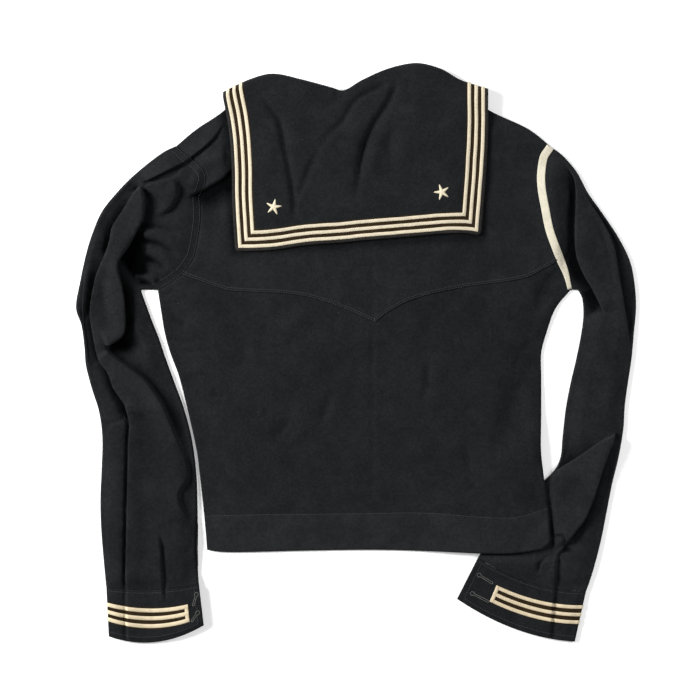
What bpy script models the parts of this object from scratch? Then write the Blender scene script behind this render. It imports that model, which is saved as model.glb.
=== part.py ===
"""Middy shirt (sailor's wool jumper) lying flat on its front, with its back up.

Every piece that is cut and sewn on is one closed cloth wall. The pieces lie on each other from the floor
up: the collar's fronts, the front panel, the back and its yoke, the collar's fall, its tapes and stars.
X runs across the shoulders, Y from the hem to the neck and Z up from the floor. The tables and sizes are
in millimetres. The meshes are in metres, with the origin below the middle of the outline.
"""

import math
from typing import NamedTuple

import bmesh
import bpy
import numpy as np

MM = 0.001

# Cloth and how it is stacked
CLOTH = 1.6            # wool cloth of the body, the sleeves and the collar
CUFF_CLOTH = 2.2       # doubled cloth of the cuffs
GAP = 0.4              # air between layers that lie on each other
SEAM = 0.3             # air between edges that are sewn together
BODY_LOFT = 1.4        # how far the back stands off the front in the middle of the body
EDGE_REACH = 45.0      # how far in from an outline the back reaches its full loft
HEM_Y = -246.0
ABOVE_ARMPIT = 1.2     # how much faster than the height the sides stop counting as outlines there

# Tapes and trims
TAPE_WIDTH = 4.4
TAPE_THICK = 0.8
TAPE_GAP = 0.4
TAPE_FIRST = 6.3       # centre of the outer tape, in from the collar's edge
TAPE_PITCH = 8.5
STAR_REACH = 9.8
STAR_WAIST = 3.8
STAR_GAP = 0.5
STARS = {"star_left": (-102.5, 182.0, 7.0), "star_right": (107.0, 200.5, 180.0)}    # X, Y, degrees
SHOULDER_TAPE_WIDTH = 10.0
SHOULDER_TAPE_GAP = 0.6
SHOULDER_TAPE_ENDS = (0.02, 2.95)       # places along the armhole
SHOULDER_TAPE_TAPER = (0.03, 0.3)       # places between which it widens from its lower end
SHOULDER_TAPE_TIP = 0.55                # share of the width at its lower end
CUFF_TAPE_WIDTH = 4.6
CUFF_TAPE_PITCH = 9.4
CUFF_TAPE_MIDDLE = {"left": (0.58, 0.49), "right": (0.505, 0.465)}  # shares of the depth, open end to fold
CUFF_TAPE_START = {"left": 16.0, "right": 32.0}     # end bar, in from the cuff's open end
CUFF_TAPE_RUN = (0.75, 0.985)                       # shares of the way to the fold: a stop, and the end
BUTTON_ACROSS = 15.0
BUTTON_THICK = 2.6
BUTTON_HEM = 11.0      # button centre, in from the open end of the cuff
BUTTON_SHARES = (0.3, 0.7)

# Collar
COLLAR_FLOOR = TAPE_THICK + TAPE_GAP                # the fronts lie on their tapes
COLLAR_ROLL = 5.6      # outer radius of the roll over the shoulders
NECK_ROLL = 2.5        # outer radius of the roll at the back of the neck
ROLL_FALL = 70.0       # distance over which the collar comes down from its roll
COLLAR_LOFT = 0.6      # loft of the fall over the back yoke
COLLAR_FOLD_FADE = 20.0
COLLAR_BOWS = {"left": 3.6, "right": 2.3}   # how far the fall's sides bow to the right, half way up
NECK_SHARE = 3 / 8     # share of the half width that belongs to the back of the neck
NECK_BLEND = 1 / 8     # share over which the roll changes its radius
NECK_TUCK = COLLAR_ROLL + 2.0                       # how far inside the roll's outline the body ends
STAND = 8.0            # what lies on the yoke between the roll and the neck seam
FRONT_END_Y = 62.0     # lower end of the collar's fronts
FRONT_END_OUTER = 38.0
FRONT_END_INNER = 3.0
FRONT_TAPE_END = 2.995              # where the tapes end along the fronts

# What the body lies on
FRONT_LIFT = COLLAR_FLOOR + CLOTH + GAP
FRONT_LIFT_FADE = (34.0, 95.0)      # distances past the collar's fronts over which the lift fades
SLEEVE_UNDER = 6.4                  # height that the right sleeve's end gives the body's corner
SLEEVE_UNDER_FADE = (22.0, 95.0)
SLEEVE_UNDER_HIGH = (-130.0, -40.0)     # Y over which it ends upwards
SLEEVE_UNDER_SIDE = (60.0, 140.0)       # X over which it begins


class BodyRow(NamedTuple):
    """Side seams of the body at one height."""

    y: float
    left: float
    right: float


BODY_ROWS = [
    BodyRow(78, -247.5, 267.5),
    BodyRow(55, -244, 249),
    BodyRow(25, -239, 238),
    BodyRow(0, -232, 231.5),
    BodyRow(-30, -221, 231.5),
    BodyRow(-75, -209.5, 231.5),
    BodyRow(-120, -199.5, 231),
    BodyRow(-150, -195.5, 234),
    BodyRow(-200, -190, 240),
    BodyRow(-232, -187, 242.5),
]

HEM_LINE = [(-186, -246), (-157, -249), (-60, -247), (24, -246), (100, -248), (180, -251), (222, -247),
            (237, -241), (242.5, -232)]

# Armholes from the armpit to the shoulder. The runs end at the yoke seam, at the ridge and at the crease
# of the sleeve, and at the shoulder.
ARMHOLES = {
    "left": ([(-247.5, 78), (-231, 88), (-217, 98)],
             [(-217, 98), (-206, 113), (-200, 127), (-194, 165), (-195, 195)],
             [(-195, 195), (-191, 204), (-187, 216), (-191, 230), (-207, 245)],
             [(-207, 245), (-216, 252), (-224, 259)]),
    "right": ([(267.5, 78), (262, 100), (255, 117)],
              [(255, 117), (242, 152), (236, 181)],
              [(236, 181), (232, 203), (231, 222), (234, 243), (239, 252)],
              [(239, 252), (241, 255), (243, 258)]),
}
YOKE_PLACE = 0.28      # where the yoke seam meets the armhole, in places round the sleeve's ring
YOKE_SEAM_LEFT = [(-217, 98), (-170, 81), (-150, 77), (-80, 73), (-30, 61), (24, 38)]
YOKE_SEAM_RIGHT = [(24, 38), (42, 52), (75, 68), (130, 81), (205, 92), (235, 105), (255, 117)]
COLLAR_TOP = [(-166, 326), (-135, 341), (-104, 349), (-69, 342), (-32, 332), (-15, 328), (8, 341),
              (40, 355), (75, 362.3), (106, 355), (131, 341), (165, 330)]
COLLAR_LOWER_EDGE = [(-151.5, 126.6), (-97, 129.3), (-47, 135.7), (3, 139.8), (53, 144), (103, 148.4),
                     (132, 149.3), (156, 146)]
SHOULDER_LEFT = [(-224, 259), (-200, 279), (-166, 302)]
SHOULDER_RIGHT = [(165, 304), (215, 280), (243, 258)]


class SleeveRow(NamedTuple):
    """One ring of a sleeve, from its inner edge to its outer edge, as it lies."""

    inner: tuple
    ridge: tuple    # foot of the raised middle, on the side of the body
    crease: tuple   # where the raised middle ends and the outer strip begins
    outer: tuple
    full: float     # share of the full loft


SLEEVE_LEFT = [
    SleeveRow((-248.0, 79), (-195.3, 195), (-207.3, 245), (-224.3, 259), 0.6),
    SleeveRow((-249.5, 79), (-222, 195), (-220, 235), (-239, 252), 1),
    SleeveRow((-251.5, 79), (-240, 178), (-240, 227), (-256, 240), 1),
    SleeveRow((-253.5, 79), (-260, 171), (-264, 215), (-281, 219), 1),
    SleeveRow((-256, 79), (-272, 158), (-281, 193), (-301, 198), 1),
    SleeveRow((-259, 79), (-282, 141), (-293, 170), (-318, 176), 1),
    SleeveRow((-262, 79), (-290, 125), (-303, 148), (-330, 148), 1),
    SleeveRow((-265, 79), (-297, 111), (-312, 122), (-338, 121), 1),
    SleeveRow((-268, 77), (-300, 93), (-320, 95), (-345, 88), 1),
    SleeveRow((-262, 60), (-297, 66), (-329, 62), (-350, 57), 1),
    SleeveRow((-254, 38), (-291, 38), (-331, 36), (-343, 34), 1),
    SleeveRow((-246, 18), (-305, 12), (-325, 8), (-339.5, 8), 1),
    SleeveRow((-238, -6), (-286, -11), (-316, -16), (-337.5, -16), 1),
    SleeveRow((-227, -36), (-261, -42), (-301, -46), (-330, -45), 1),
    SleeveRow((-215, -69), (-238, -72), (-286, -76), (-321, -74), 1),
    SleeveRow((-205, -108), (-219, -110), (-283, -108), (-317, -107), 1),
    SleeveRow((-199.5, -150), (-208, -150), (-284, -148), (-318, -147), 1),
    SleeveRow((-198, -198), (-205, -198), (-285, -198), (-320, -197), 1),
    SleeveRow((-200, -245), (-207, -245), (-286, -245), (-317, -245), 0.9),
    SleeveRow((-198, -288), (-205, -292), (-286, -292), (-313, -292), 0.3),
]
SLEEVE_RIGHT = [
    SleeveRow((267.8, 79), (236, 181), (241, 255), (243.5, 259), 0.6),
    SleeveRow((270, 79), (254, 186), (257, 242), (259, 246), 1),
    SleeveRow((272, 79), (271, 170), (273, 222), (276, 226), 0.7),
    SleeveRow((274, 79), (277, 158), (287, 197), (290, 200), 1),
    SleeveRow((276, 79), (283, 140), (300, 176), (307, 176), 1),
    SleeveRow((277.5, 78), (291, 118), (312, 140), (327, 146), 1),
    SleeveRow((279, 76), (297, 98), (318, 116), (342, 116), 1),
    SleeveRow((283, 66), (300, 76), (323, 86), (348, 88), 1),
    SleeveRow((284, 46), (304, 52), (332, 57), (350, 58), 1),
    SleeveRow((281, 22), (298, 24), (338, 27), (347.5, 27), 1),
    SleeveRow((275, -8), (290, -8), (341, -6), (344.5, -6), 1),
    SleeveRow((268, -38), (283, -38), (337, -36), (340, -36), 1),
    SleeveRow((262, -70), (277, -70), (332.5, -66), (336, -66), 1),
    SleeveRow((258, -105), (272, -104), (324, -98), (334, -96), 1),
    SleeveRow((255, -132), (268, -134), (314, -131), (328, -131), 1),
    SleeveRow((243, -152), (256, -160), (302, -164), (320, -164), 0.8),
    SleeveRow((212, -179), (232, -194), (286, -204), (312, -205), 0.8),
    SleeveRow((186, -216), (204, -226), (262, -240), (305, -241), 0.8),
    SleeveRow((165, -236), (184, -250), (253, -273), (297, -273), 0.8),
    SleeveRow((152.5, -254), (172, -268), (250, -294), (288, -297), 0.3),
]
SLEEVE_HEAD = {"left": 0.42, "right": 0.26}     # share of the length that keeps the armhole's curve
SLEEVE_HEAD_LOFT = 0.12                         # share of the length that keeps the body's height
SLEEVE_END = 0.86      # share of the length where the cuff seam's curve begins
SLEEVE_END_LIFT = 0.94
INNER_LOFT = 0.6
MAIN_LOFT = 3.2
STRIP_LOFT = 1.2

EDGE_FALL = 0.3        # how far a sleeve's long edges sink

# Stops of the panels' grids
BODY_COLUMNS = 20
BODY_STEPS = 11        # stops from the hem to the armpit
ARMPIT_SHARE = 0.55    # share of the front's height up to the armpit
YOKE_COLUMNS = 16
FRONT_BENDS = (6 / 20, 10 / 20, 14 / 20)            # shares across at the neck's corners
BACK_BENDS = (2 / 20, 10 / 20, 18 / 20)             # shares across at the armholes and the yoke's point
YOKE_BENDS = (6 / 16, 10 / 16)
COLLAR_COLUMNS = [float(share) for share in np.linspace(-1, 1, 17)]
COLLAR_ROWS = [*np.linspace(0, 1, 8), *np.linspace(1, 2, 7)[1:], *np.linspace(2.14, 3, 5)]
NEAR = 0.01            # small step along a curve, to find its direction
SEARCH_STEPS = 12

# Stops round a sleeve, with place 0 inner edge, 1 ridge, 2 crease and 3 outer edge
RING_TOP = (0, YOKE_PLACE / 2, YOKE_PLACE, 0.6, 0.94, 1.1, 1.37, 1.63, 1.9, 2.08, 2.5, 3)
RING_BOTTOM = (3, 2.5, 2, 1.63, 1.1, 0.6, YOKE_PLACE, 0)
CUFF_SHARES = (0, 0.1, 0.76, 1)     # shares of the cuff seam at places 0 to 3


class CuffEdge(NamedTuple):
    """One long edge of a cuff, from its open end to its fold, with a sag towards the hand."""

    open_end: tuple
    fold: tuple
    sag: float


class Cuff(NamedTuple):
    """A cuff band as it lies, doubled over at its fold."""

    seam: CuffEdge
    hem: CuffEdge


CUFFS = {
    "left": Cuff(CuffEdge((-196, -289), (-312, -293), 5), CuffEdge((-190, -340), (-309, -354), 14)),
    "right": Cuff(CuffEdge((152, -256), (287.5, -297.5), 11), CuffEdge((126, -307), (273.5, -360.5), 11.5)),
}


class Fold(NamedTuple):
    """A soft ridge (positive height) or trough (negative) along a straight run of the back."""

    start: tuple
    end: tuple
    width: float
    height: float


BODY_FOLDS = [
    Fold((-168, 280), (-207, 246), 7, -1.6),
    Fold((-176, 238), (-196, 222), 12, 2.6),
    Fold((-166, 218), (-192, 206), 9, -1.4),
    Fold((196, 50), (178, -190), 16, -1.2),
    Fold((218, 40), (222, -130), 14, 1.2),
    Fold((-112, -22), (-40, -112), 14, -1.0),
    Fold((-172, -38), (-60, -150), 18, 0.9),
]
COLLAR_FOLDS = [
    Fold((51, 334), (4, 206), 8, -1.0),
    Fold((-15, 326), (-20, 230), 22, 1.4),
    Fold((78, 352), (60, 190), 30, 1.8),
    Fold((-100, 310), (-86, 190), 16, 1.2),
]

WOOL = ("wool_navy", (0.020, 0.022, 0.025, 1.0), 0.92)
CREAM = ("tape_cream", (0.80, 0.68, 0.46, 1.0), 0.8)
IVORY = ("tape_ivory", (0.74, 0.68, 0.52, 1.0), 0.8)
HORN = ("button_black", (0.012, 0.012, 0.013, 1.0), 0.35)


def ease(low, high, value):
    """Smooth step from 0 at low to 1 at high."""
    share = min(max((value - low) / (high - low), 0.0), 1.0)
    return share * share * (3.0 - 2.0 * share)


def spline(points, place):
    """Point on a smooth curve through the points, with place 0 to 1 counted in points."""
    table = np.asarray(points, dtype=float)
    position = min(max(place, 0.0), 1.0) * (len(table) - 1)
    index = min(int(position), len(table) - 2)
    share = position - index
    before = table[max(index - 1, 0)]
    first = table[index]
    second = table[index + 1]
    after = table[min(index + 2, len(table) - 1)]
    linear = (second - before) * share
    square = (2 * before - 5 * first + 4 * second - after) * share ** 2
    cube = (3 * first - before - 3 * second + after) * share ** 3
    return first + 0.5 * (linear + square + cube)


class Path:
    """A plan curve of smooth runs that meet at corners, with a share of its length at each corner."""

    SAMPLES = 24

    def __init__(self, *runs, corners=()):
        """Sample each run, and note where along the path it starts and ends."""
        self.stops = (0.0, *corners, 1.0)
        self.runs = []
        for run in runs:
            places = np.linspace(0, 1, self.SAMPLES * (len(run) - 1) + 1)
            samples = np.array([spline(run, place) for place in places])
            steps = np.hypot(*np.diff(samples, axis=0).T)
            self.runs.append((samples, np.concatenate([[0], np.cumsum(steps)])))

    def at(self, share):
        """Plan point at a share, 0 to 1, of the way along."""
        index = 0
        while index < len(self.runs) - 1 and share > self.stops[index + 1] + 1e-9:
            index += 1
        samples, lengths = self.runs[index]
        low, high = self.stops[index], self.stops[index + 1]
        distance = (share - low) / (high - low) * lengths[-1]
        return np.array([np.interp(distance, lengths, samples[:, axis]) for axis in (0, 1)])


COLLAR_PATH = Path(COLLAR_TOP)
COLLAR_LOWER = Path(COLLAR_LOWER_EDGE)


class Panel:
    """A flat cut piece between four plan curves."""

    def __init__(self, lower, upper, left, right):
        """Keep the curves: lower and upper run left to right, left and right run upwards."""
        self.lower = lower
        self.upper = upper
        self.left = left
        self.right = right

    def at(self, across, up):
        """Plan point at shares of the way across and up, blended from all four edges."""
        rows = (1 - up) * self.lower.at(across) + up * self.upper.at(across)
        columns = (1 - across) * self.left.at(up) + across * self.right.at(up)
        low = (1 - across) * self.lower.at(0) + across * self.lower.at(1)
        high = (1 - across) * self.upper.at(0) + across * self.upper.at(1)
        return rows + columns - ((1 - up) * low + up * high)


def shifted(points, across=0.0, up=0.0):
    """Copy of a list of plan points, moved."""
    return [(x + across, y + up) for x, y in points]


def run_distance(start, end, x, y):
    """Distance from a plan point to a straight run."""
    along = np.subtract(end, start)
    share = np.dot(np.subtract((x, y), start), along) / np.dot(along, along)
    nearest = np.add(start, along * min(max(share, 0.0), 1.0))
    return math.hypot(x - nearest[0], y - nearest[1])


def fold_height(folds, x, y):
    """Sum of the ridges and troughs at a plan point."""
    return sum(fold.height * math.exp(-(run_distance(fold.start, fold.end, x, y) / fold.width) ** 2)
               for fold in folds)


def front_outer(y):
    """Outer edge of the collar's fronts, across from the middle, at a height."""
    share = (y - FRONT_END_Y) / (COLLAR_TOP[0][1] - FRONT_END_Y)
    return FRONT_END_OUTER + share * (abs(COLLAR_TOP[0][0]) - FRONT_END_OUTER)


def front_underside(x, y):
    """Height of the front panel's underside, over the collar's fronts and the sleeve end."""
    past_fronts = max(abs(x) - front_outer(y), FRONT_END_Y - y)
    over_fronts = FRONT_LIFT * (1 - ease(*FRONT_LIFT_FADE, past_fronts))
    start, end = SLEEVE_RIGHT[-5].inner, SLEEVE_RIGHT[-1].inner
    edge = np.subtract(end, start)
    side = np.subtract((x, y), start)
    past_sleeve = (side[0] * edge[1] - side[1] * edge[0]) / math.hypot(*edge)
    over_sleeve = SLEEVE_UNDER * (1 - ease(*SLEEVE_UNDER_FADE, past_sleeve))
    return over_fronts + over_sleeve * (1 - ease(*SLEEVE_UNDER_HIGH, y)) * ease(*SLEEVE_UNDER_SIDE, x)


def outline_distance(x, y):
    """Distance in from the body's sides, hem and shoulders. The armholes don't count."""
    heights = [row.y for row in reversed(BODY_ROWS)]
    left = np.interp(y, heights, [row.left for row in reversed(BODY_ROWS)])
    right = np.interp(y, heights, [row.right for row in reversed(BODY_ROWS)])
    above_armpit = max(y - BODY_ROWS[0].y, 0.0)
    sides = min(x - left, right - x) + ABOVE_ARMPIT * above_armpit
    shoulders = min(run_distance(*SHOULDER_LEFT[::2], x, y), run_distance(*SHOULDER_RIGHT[::2], x, y))
    neck = np.interp(x, *np.transpose(COLLAR_TOP)) - NECK_TUCK - y
    return max(min(sides, y - HEM_Y, shoulders, neck), 0.0)


def back_underside(x, y):
    """Height of the back's underside, with the loft and the largest folds."""
    loft = (BODY_LOFT + fold_height(BODY_FOLDS, x, y)) * ease(0, EDGE_REACH, outline_distance(x, y))
    return front_underside(x, y) + CLOTH + GAP + max(loft, 0.0)


def collar_surface(across, along, out):
    """Point of the collar.

    across runs from -1 at the left edge to 1 at the right edge. along runs from 0 at the lower edge to 1
    where the roll begins, to 2 where it ends and to 3 at the end of the collar's fronts. out is the
    distance outwards from the collar's outer face.
    """
    start = COLLAR_PATH.at((across + 1) / 2) - (0, COLLAR_ROLL)
    at_neck = 1 - ease(NECK_SHARE - NECK_BLEND, NECK_SHARE, abs(across))
    radius = COLLAR_ROLL + (NECK_ROLL - COLLAR_ROLL) * at_neck
    top = COLLAR_FLOOR + 2 * COLLAR_ROLL
    if along <= 1:
        lower = COLLAR_LOWER.at((across + 1) / 2)
        x, y = lower + (start - lower) * along
        bow = COLLAR_BOWS["left" if across < 0 else "right"]
        x += bow * math.sin(math.pi * along) * abs(across) ** 3
        rest = back_underside(x, y) + CLOTH + GAP + CLOTH + COLLAR_LOFT
        rest += fold_height(COLLAR_FOLDS, x, y) * ease(0, COLLAR_FOLD_FADE, y - lower[1])
        lifted = ease(0, 1, 1 - math.hypot(*(start - (x, y))) / ROLL_FALL)
        return np.array((x, y, rest + (top - rest) * lifted + out))
    if along <= 2:
        turn = (along - 1) * math.pi
        reach = (radius + out) * math.sin(turn) * COLLAR_ROLL / radius
        return np.array((start[0], start[1] + reach, top - radius + (radius + out) * math.cos(turn)))
    below = top - 2 * radius - out
    if abs(across) < NECK_SHARE - 1e-6:
        return np.array((start[0], start[1] - STAND, below))
    share = (abs(across) - NECK_SHARE) / (1 - NECK_SHARE)
    side = math.copysign(1, across)
    end = np.array((side * (FRONT_END_INNER + share * (FRONT_END_OUTER - FRONT_END_INNER)), FRONT_END_Y))
    x, y = start + (end - start) * (along - 2)
    return np.array((x, y, below))


def material(finish):
    """Material of a finish, made once."""
    name, colour, roughness = finish
    found = bpy.data.materials.get(name)
    if found:
        return found
    made = bpy.data.materials.new(name)
    made.use_nodes = True
    shader = made.node_tree.nodes["Principled BSDF"]
    shader.inputs["Base Color"].default_value = colour
    shader.inputs["Roughness"].default_value = roughness
    shader.inputs["Metallic"].default_value = 0.0
    return made


def finish_object(name, finish, builder):
    """Turn a bmesh in millimetres into a named object in metres."""
    bmesh.ops.scale(builder, vec=(MM, MM, MM), verts=builder.verts)
    bmesh.ops.recalc_face_normals(builder, faces=builder.faces)
    mesh = bpy.data.meshes.new(name)
    builder.to_mesh(mesh)
    builder.free()
    mesh.materials.append(material(finish))
    item = bpy.data.objects.new(name, mesh)
    bpy.context.scene.collection.objects.link(item)
    return item


def add_wall(name, finish, columns, rows, place, closed=False, keep=None):
    """Cloth wall from a grid whose two faces are placed by place(across, up, side).

    columns and rows are the stops across and up. side is 0 on the inner face and 1 on the outer face.
    closed joins the last column to the first. keep(column, row) says which cells are cloth.
    """
    builder = bmesh.new()
    bmesh.ops.create_grid(builder, x_segments=len(columns) - 1, y_segments=len(rows) - 1, size=1)
    bmesh.ops.translate(builder, vec=(1, 1, 0), verts=builder.verts)
    size = ((len(columns) - 1) / 2, (len(rows) - 1) / 2, 1)
    bmesh.ops.scale(builder, vec=size, verts=builder.verts)
    if keep:
        cut = [face for face in builder.faces
               if not keep(*(int(value) for value in face.calc_center_median()[:2]))]
        bmesh.ops.delete(builder, geom=cut, context="FACES")
    raised = bmesh.ops.extrude_face_region(builder, geom=builder.faces[:])
    outer = [item for item in raised["geom"] if isinstance(item, bmesh.types.BMVert)]
    bmesh.ops.translate(builder, vec=(0, 0, 1), verts=outer)
    if closed:
        ends = (0, len(columns) - 1)
        seam = [face for face in builder.faces
                if any(all(abs(vert.co.x - end) < 0.01 for vert in face.verts) for end in ends)]
        bmesh.ops.delete(builder, geom=seam, context="FACES_ONLY")
    for vert in builder.verts:
        column, row, side = (round(value) for value in vert.co)
        vert.co = place(columns[column], rows[row], side)
    if closed:
        bmesh.ops.remove_doubles(builder, verts=builder.verts, dist=0.01)
    return finish_object(name, finish, builder)


def armhole_path(side_name):
    """Armhole from the armpit to the shoulder."""
    return Path(*ARMHOLES[side_name], corners=(YOKE_PLACE / 3, 1 / 3, 2 / 3))


def add_panel(name, panel, columns, rows, underside):
    """Flat cut piece whose underside lies at underside(x, y)."""

    def place(across, up, side):
        x, y = panel.at(across, up)
        return x, y, underside(x, y) + side * CLOTH

    add_wall(name, WOOL, np.linspace(0, 1, columns + 1), rows, place)


def neck_runs():
    """Neck edge of the body from left to right: shoulder, back of the neck, shoulder."""
    edge = shifted(COLLAR_TOP[1:-1], up=-NECK_TUCK)
    left, right = (tuple(COLLAR_PATH.at((1 + side * NECK_SHARE) / 2) - (0, NECK_TUCK)) for side in (-1, 1))
    shoulder_left = [*SHOULDER_LEFT, *(point for point in edge if point[0] < left[0] - 5), left]
    middle = [left, *(point for point in edge if left[0] + 5 < point[0] < right[0] - 5), right]
    shoulder_right = [right, *(point for point in edge if point[0] > right[0] + 5), *SHOULDER_RIGHT]
    return shoulder_left, middle, shoulder_right


def add_body():
    """Front panel, lower back and back yoke."""
    shoulder_left, neck, shoulder_right = neck_runs()
    sides = {}
    for side_name, corner in (("left", HEM_LINE[0]), ("right", HEM_LINE[-1])):
        sides[side_name] = [corner, *((getattr(row, side_name), row.y) for row in BODY_ROWS[-2::-1])]

    above = [ARMPIT_SHARE + (1 - ARMPIT_SHARE) * place / 3 for place in RING_BOTTOM[-2::-1]]
    bends = [ARMPIT_SHARE + (1 - ARMPIT_SHARE) * place / 3 for place in (0, YOKE_PLACE, 1, 2)]
    below_neck = (0, FRONT_END_Y + 2)
    front = Panel(
        lower=Path(HEM_LINE),
        upper=Path(shoulder_left, [shoulder_left[-1], below_neck], [below_neck, shoulder_right[0]],
                   shoulder_right, corners=FRONT_BENDS),
        left=Path(sides["left"], *ARMHOLES["left"], corners=bends),
        right=Path(sides["right"], *ARMHOLES["right"], corners=bends))
    rows = [*np.linspace(0, ARMPIT_SHARE, BODY_STEPS), *above]
    add_panel("front_panel", front, BODY_COLUMNS, rows, front_underside)

    back = Panel(
        lower=Path(HEM_LINE),
        upper=Path(ARMHOLES["left"][0], YOKE_SEAM_LEFT, YOKE_SEAM_RIGHT, ARMHOLES["right"][0][::-1],
                   corners=BACK_BENDS),
        left=Path(sides["left"]), right=Path(sides["right"]))
    add_panel("back_panel", back, BODY_COLUMNS, np.linspace(0, 1, BODY_STEPS), back_underside)

    seams = (shifted(YOKE_SEAM_LEFT, up=SEAM), shifted(YOKE_SEAM_RIGHT, up=SEAM))
    length = 3 - YOKE_PLACE
    rows = [(place - YOKE_PLACE) / length for place in RING_TOP[2:]]
    bends = [(place - YOKE_PLACE) / length for place in (1, 2)]
    edges = {}
    for side_name, corner in (("left", seams[0][0]), ("right", seams[1][-1])):
        first, *others = ARMHOLES[side_name][1:]
        edges[side_name] = Path([corner, *first[1:]], *others, corners=bends)
    yoke = Panel(
        lower=Path(*seams, corners=(0.5,)),
        upper=Path(shoulder_left, neck, shoulder_right, corners=YOKE_BENDS),
        left=edges["left"], right=edges["right"])
    add_panel("back_yoke", yoke, YOKE_COLUMNS, rows, back_underside)


def corner_plan(corners, place):
    """Plan point on straight runs through four corners, with place 0 at the first and 3 at the last."""
    index = min(int(place), 2)
    start, end = np.array(corners[index]), np.array(corners[index + 1])
    return start + (end - start) * (place - index)


def cuff_share(place):
    """Share of the cuff seam, from its open end to its fold, at a place round the sleeve."""
    return float(np.interp(place, range(4), CUFF_SHARES))


def sleeve_loft(place):
    """Loft of a sleeve's upper layer across the ring, in steps at the ridge and the crease."""
    rise = ease(0.9, 1.12, place) * (1 - ease(1.88, 2.1, place))
    beyond = ease(1.88, 2.1, place)
    full = INNER_LOFT + (MAIN_LOFT - INNER_LOFT) * rise + (STRIP_LOFT - INNER_LOFT) * beyond
    return full * ease(0, 0.5, place) * (1 - ease(2.7, 3, place))


class Sleeve:
    """A sleeve from its armhole to its cuff, as it lies."""

    def __init__(self, side_name, rows):
        """Keep the table, and the curves that its first and last rings follow."""
        self.away = math.copysign(1, rows[0].inner[0])
        self.head = SLEEVE_HEAD[side_name]
        self.cuff = CUFFS[side_name]
        self.armhole = armhole_path(side_name)
        self.armhole_corners = [self.armhole.at(stop / 3) for stop in range(4)]
        self.end_corners = [cuff_plan(self.cuff, share, 0) for share in CUFF_SHARES]
        self.table = [np.array([getattr(row, name) for row in rows], dtype=float).reshape(len(rows), -1)
                      for name in SleeveRow._fields]

    def corners(self, share):
        """Corners of the ring at a share of the way from the armhole to the cuff."""
        end = ease(SLEEVE_END, 1, share)
        tabled = [spline(column, share) for column in self.table[:4]]
        return [point + (last - point) * end for point, last in zip(tabled, self.end_corners)]

    def plan(self, share, place):
        """Plan point at a place round the ring."""
        at_armhole = self.armhole.at(place / 3) - corner_plan(self.armhole_corners, place)
        at_cuff = cuff_plan(self.cuff, cuff_share(place), 0) - corner_plan(self.end_corners, place)
        point = corner_plan(self.corners(share), place)
        point = point + at_armhole * (1 - ease(0, self.head, share)) + at_cuff * ease(SLEEVE_END, 1, share)
        if share > 0:
            return point
        ahead = self.armhole.at(place / 3 + NEAR) - self.armhole.at(place / 3 - NEAR)
        outwards = np.array((ahead[1], -ahead[0])) * self.away / math.hypot(*ahead)
        return self.armhole.at(place / 3) + outwards * SEAM

    def floor(self, share, place):
        """Height that the buttons under the cuff give the sleeve's end."""
        return cuff_lift(cuff_share(place)) * ease(SLEEVE_END_LIFT, 1, share)

    def top(self, share, place):
        """Height of the upper layer's outer face."""
        full = float(spline(self.table[4], share)[0])
        height = self.floor(share, place) + 2 * CLOTH + GAP + full * sleeve_loft(place)
        body = back_underside(*self.armhole.at(place / 3)) + CLOTH
        return body + (height - body) * ease(0, SLEEVE_HEAD_LOFT, share)


def add_sleeve(side_name, sleeve, rings):
    """Sleeve as one flattened tube from the armhole to the cuff."""
    stops = [(place, 1) for place in RING_TOP] + [(place, 0) for place in RING_BOTTOM]
    stops.append(stops[0])

    def place_sleeve(stop, share, side):
        place, upper = stop
        point = sleeve.plan(share, place)
        first, *_, last = sleeve.corners(share)
        outwards = (last - first) / math.dist(last, first)
        if side == 0 and place in (0, 3):
            point = point + outwards * (CLOTH if place == 0 else -CLOTH)
        if not upper:
            return *point, sleeve.floor(share, place) + CLOTH * (1 - side)
        edge = EDGE_FALL if place in (0, 3) else 0.0
        return *point, sleeve.top(share, place) - edge * side - CLOTH * (1 - side)

    add_wall("sleeve_" + side_name, WOOL, stops, np.linspace(0, 1, rings), place_sleeve, closed=True)


def cuff_plan(cuff, inwards, down):
    """Plan point of a cuff, with inwards 0 at its open end and 1 at its fold, and down 0 to 1."""
    lines = []
    for edge in (cuff.seam, cuff.hem):
        start, end = np.array(edge.open_end), np.array(edge.fold)
        sag = np.array((0, -edge.sag * 4 * inwards * (1 - inwards)))
        lines.append(start + (end - start) * inwards + sag)
    return lines[0] + (lines[1] - lines[0]) * down


def cuff_lift(inwards):
    """Height that the buttons give a cuff near its open end."""
    return float(np.interp(inwards, (cuff_share(1.1), cuff_share(1.63)), (BUTTON_THICK + GAP, 0)))


def add_cuff(side_name, cuff):
    """Cuff band: upper layer from its open end to the fold, and lower layer back again."""
    run = [(cuff_share(place), 1) for place in RING_TOP] + [(cuff_share(place), 0) for place in RING_BOTTOM]
    depth = math.dist(cuff.seam.fold, cuff.hem.fold)
    fold_out = math.copysign(CUFF_CLOTH, cuff.seam.fold[0] - cuff.seam.open_end[0])

    def place_cuff(stop, down, side):
        inwards, upper = stop
        x, y = cuff_plan(cuff, inwards, down)
        if side == 0 and inwards == 1:
            x -= fold_out
        floor = cuff_lift(inwards)
        if upper:
            return x, y, floor + CUFF_CLOTH + GAP + side * CUFF_CLOTH
        return x, y, floor + (1 - side) * CUFF_CLOTH

    add_wall("cuff_" + side_name, WOOL, run, (SEAM / depth, 0.5, 1), place_cuff)
    add_cuff_tape(side_name, cuff, depth)
    add_cuff_buttons(side_name, cuff)


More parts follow.
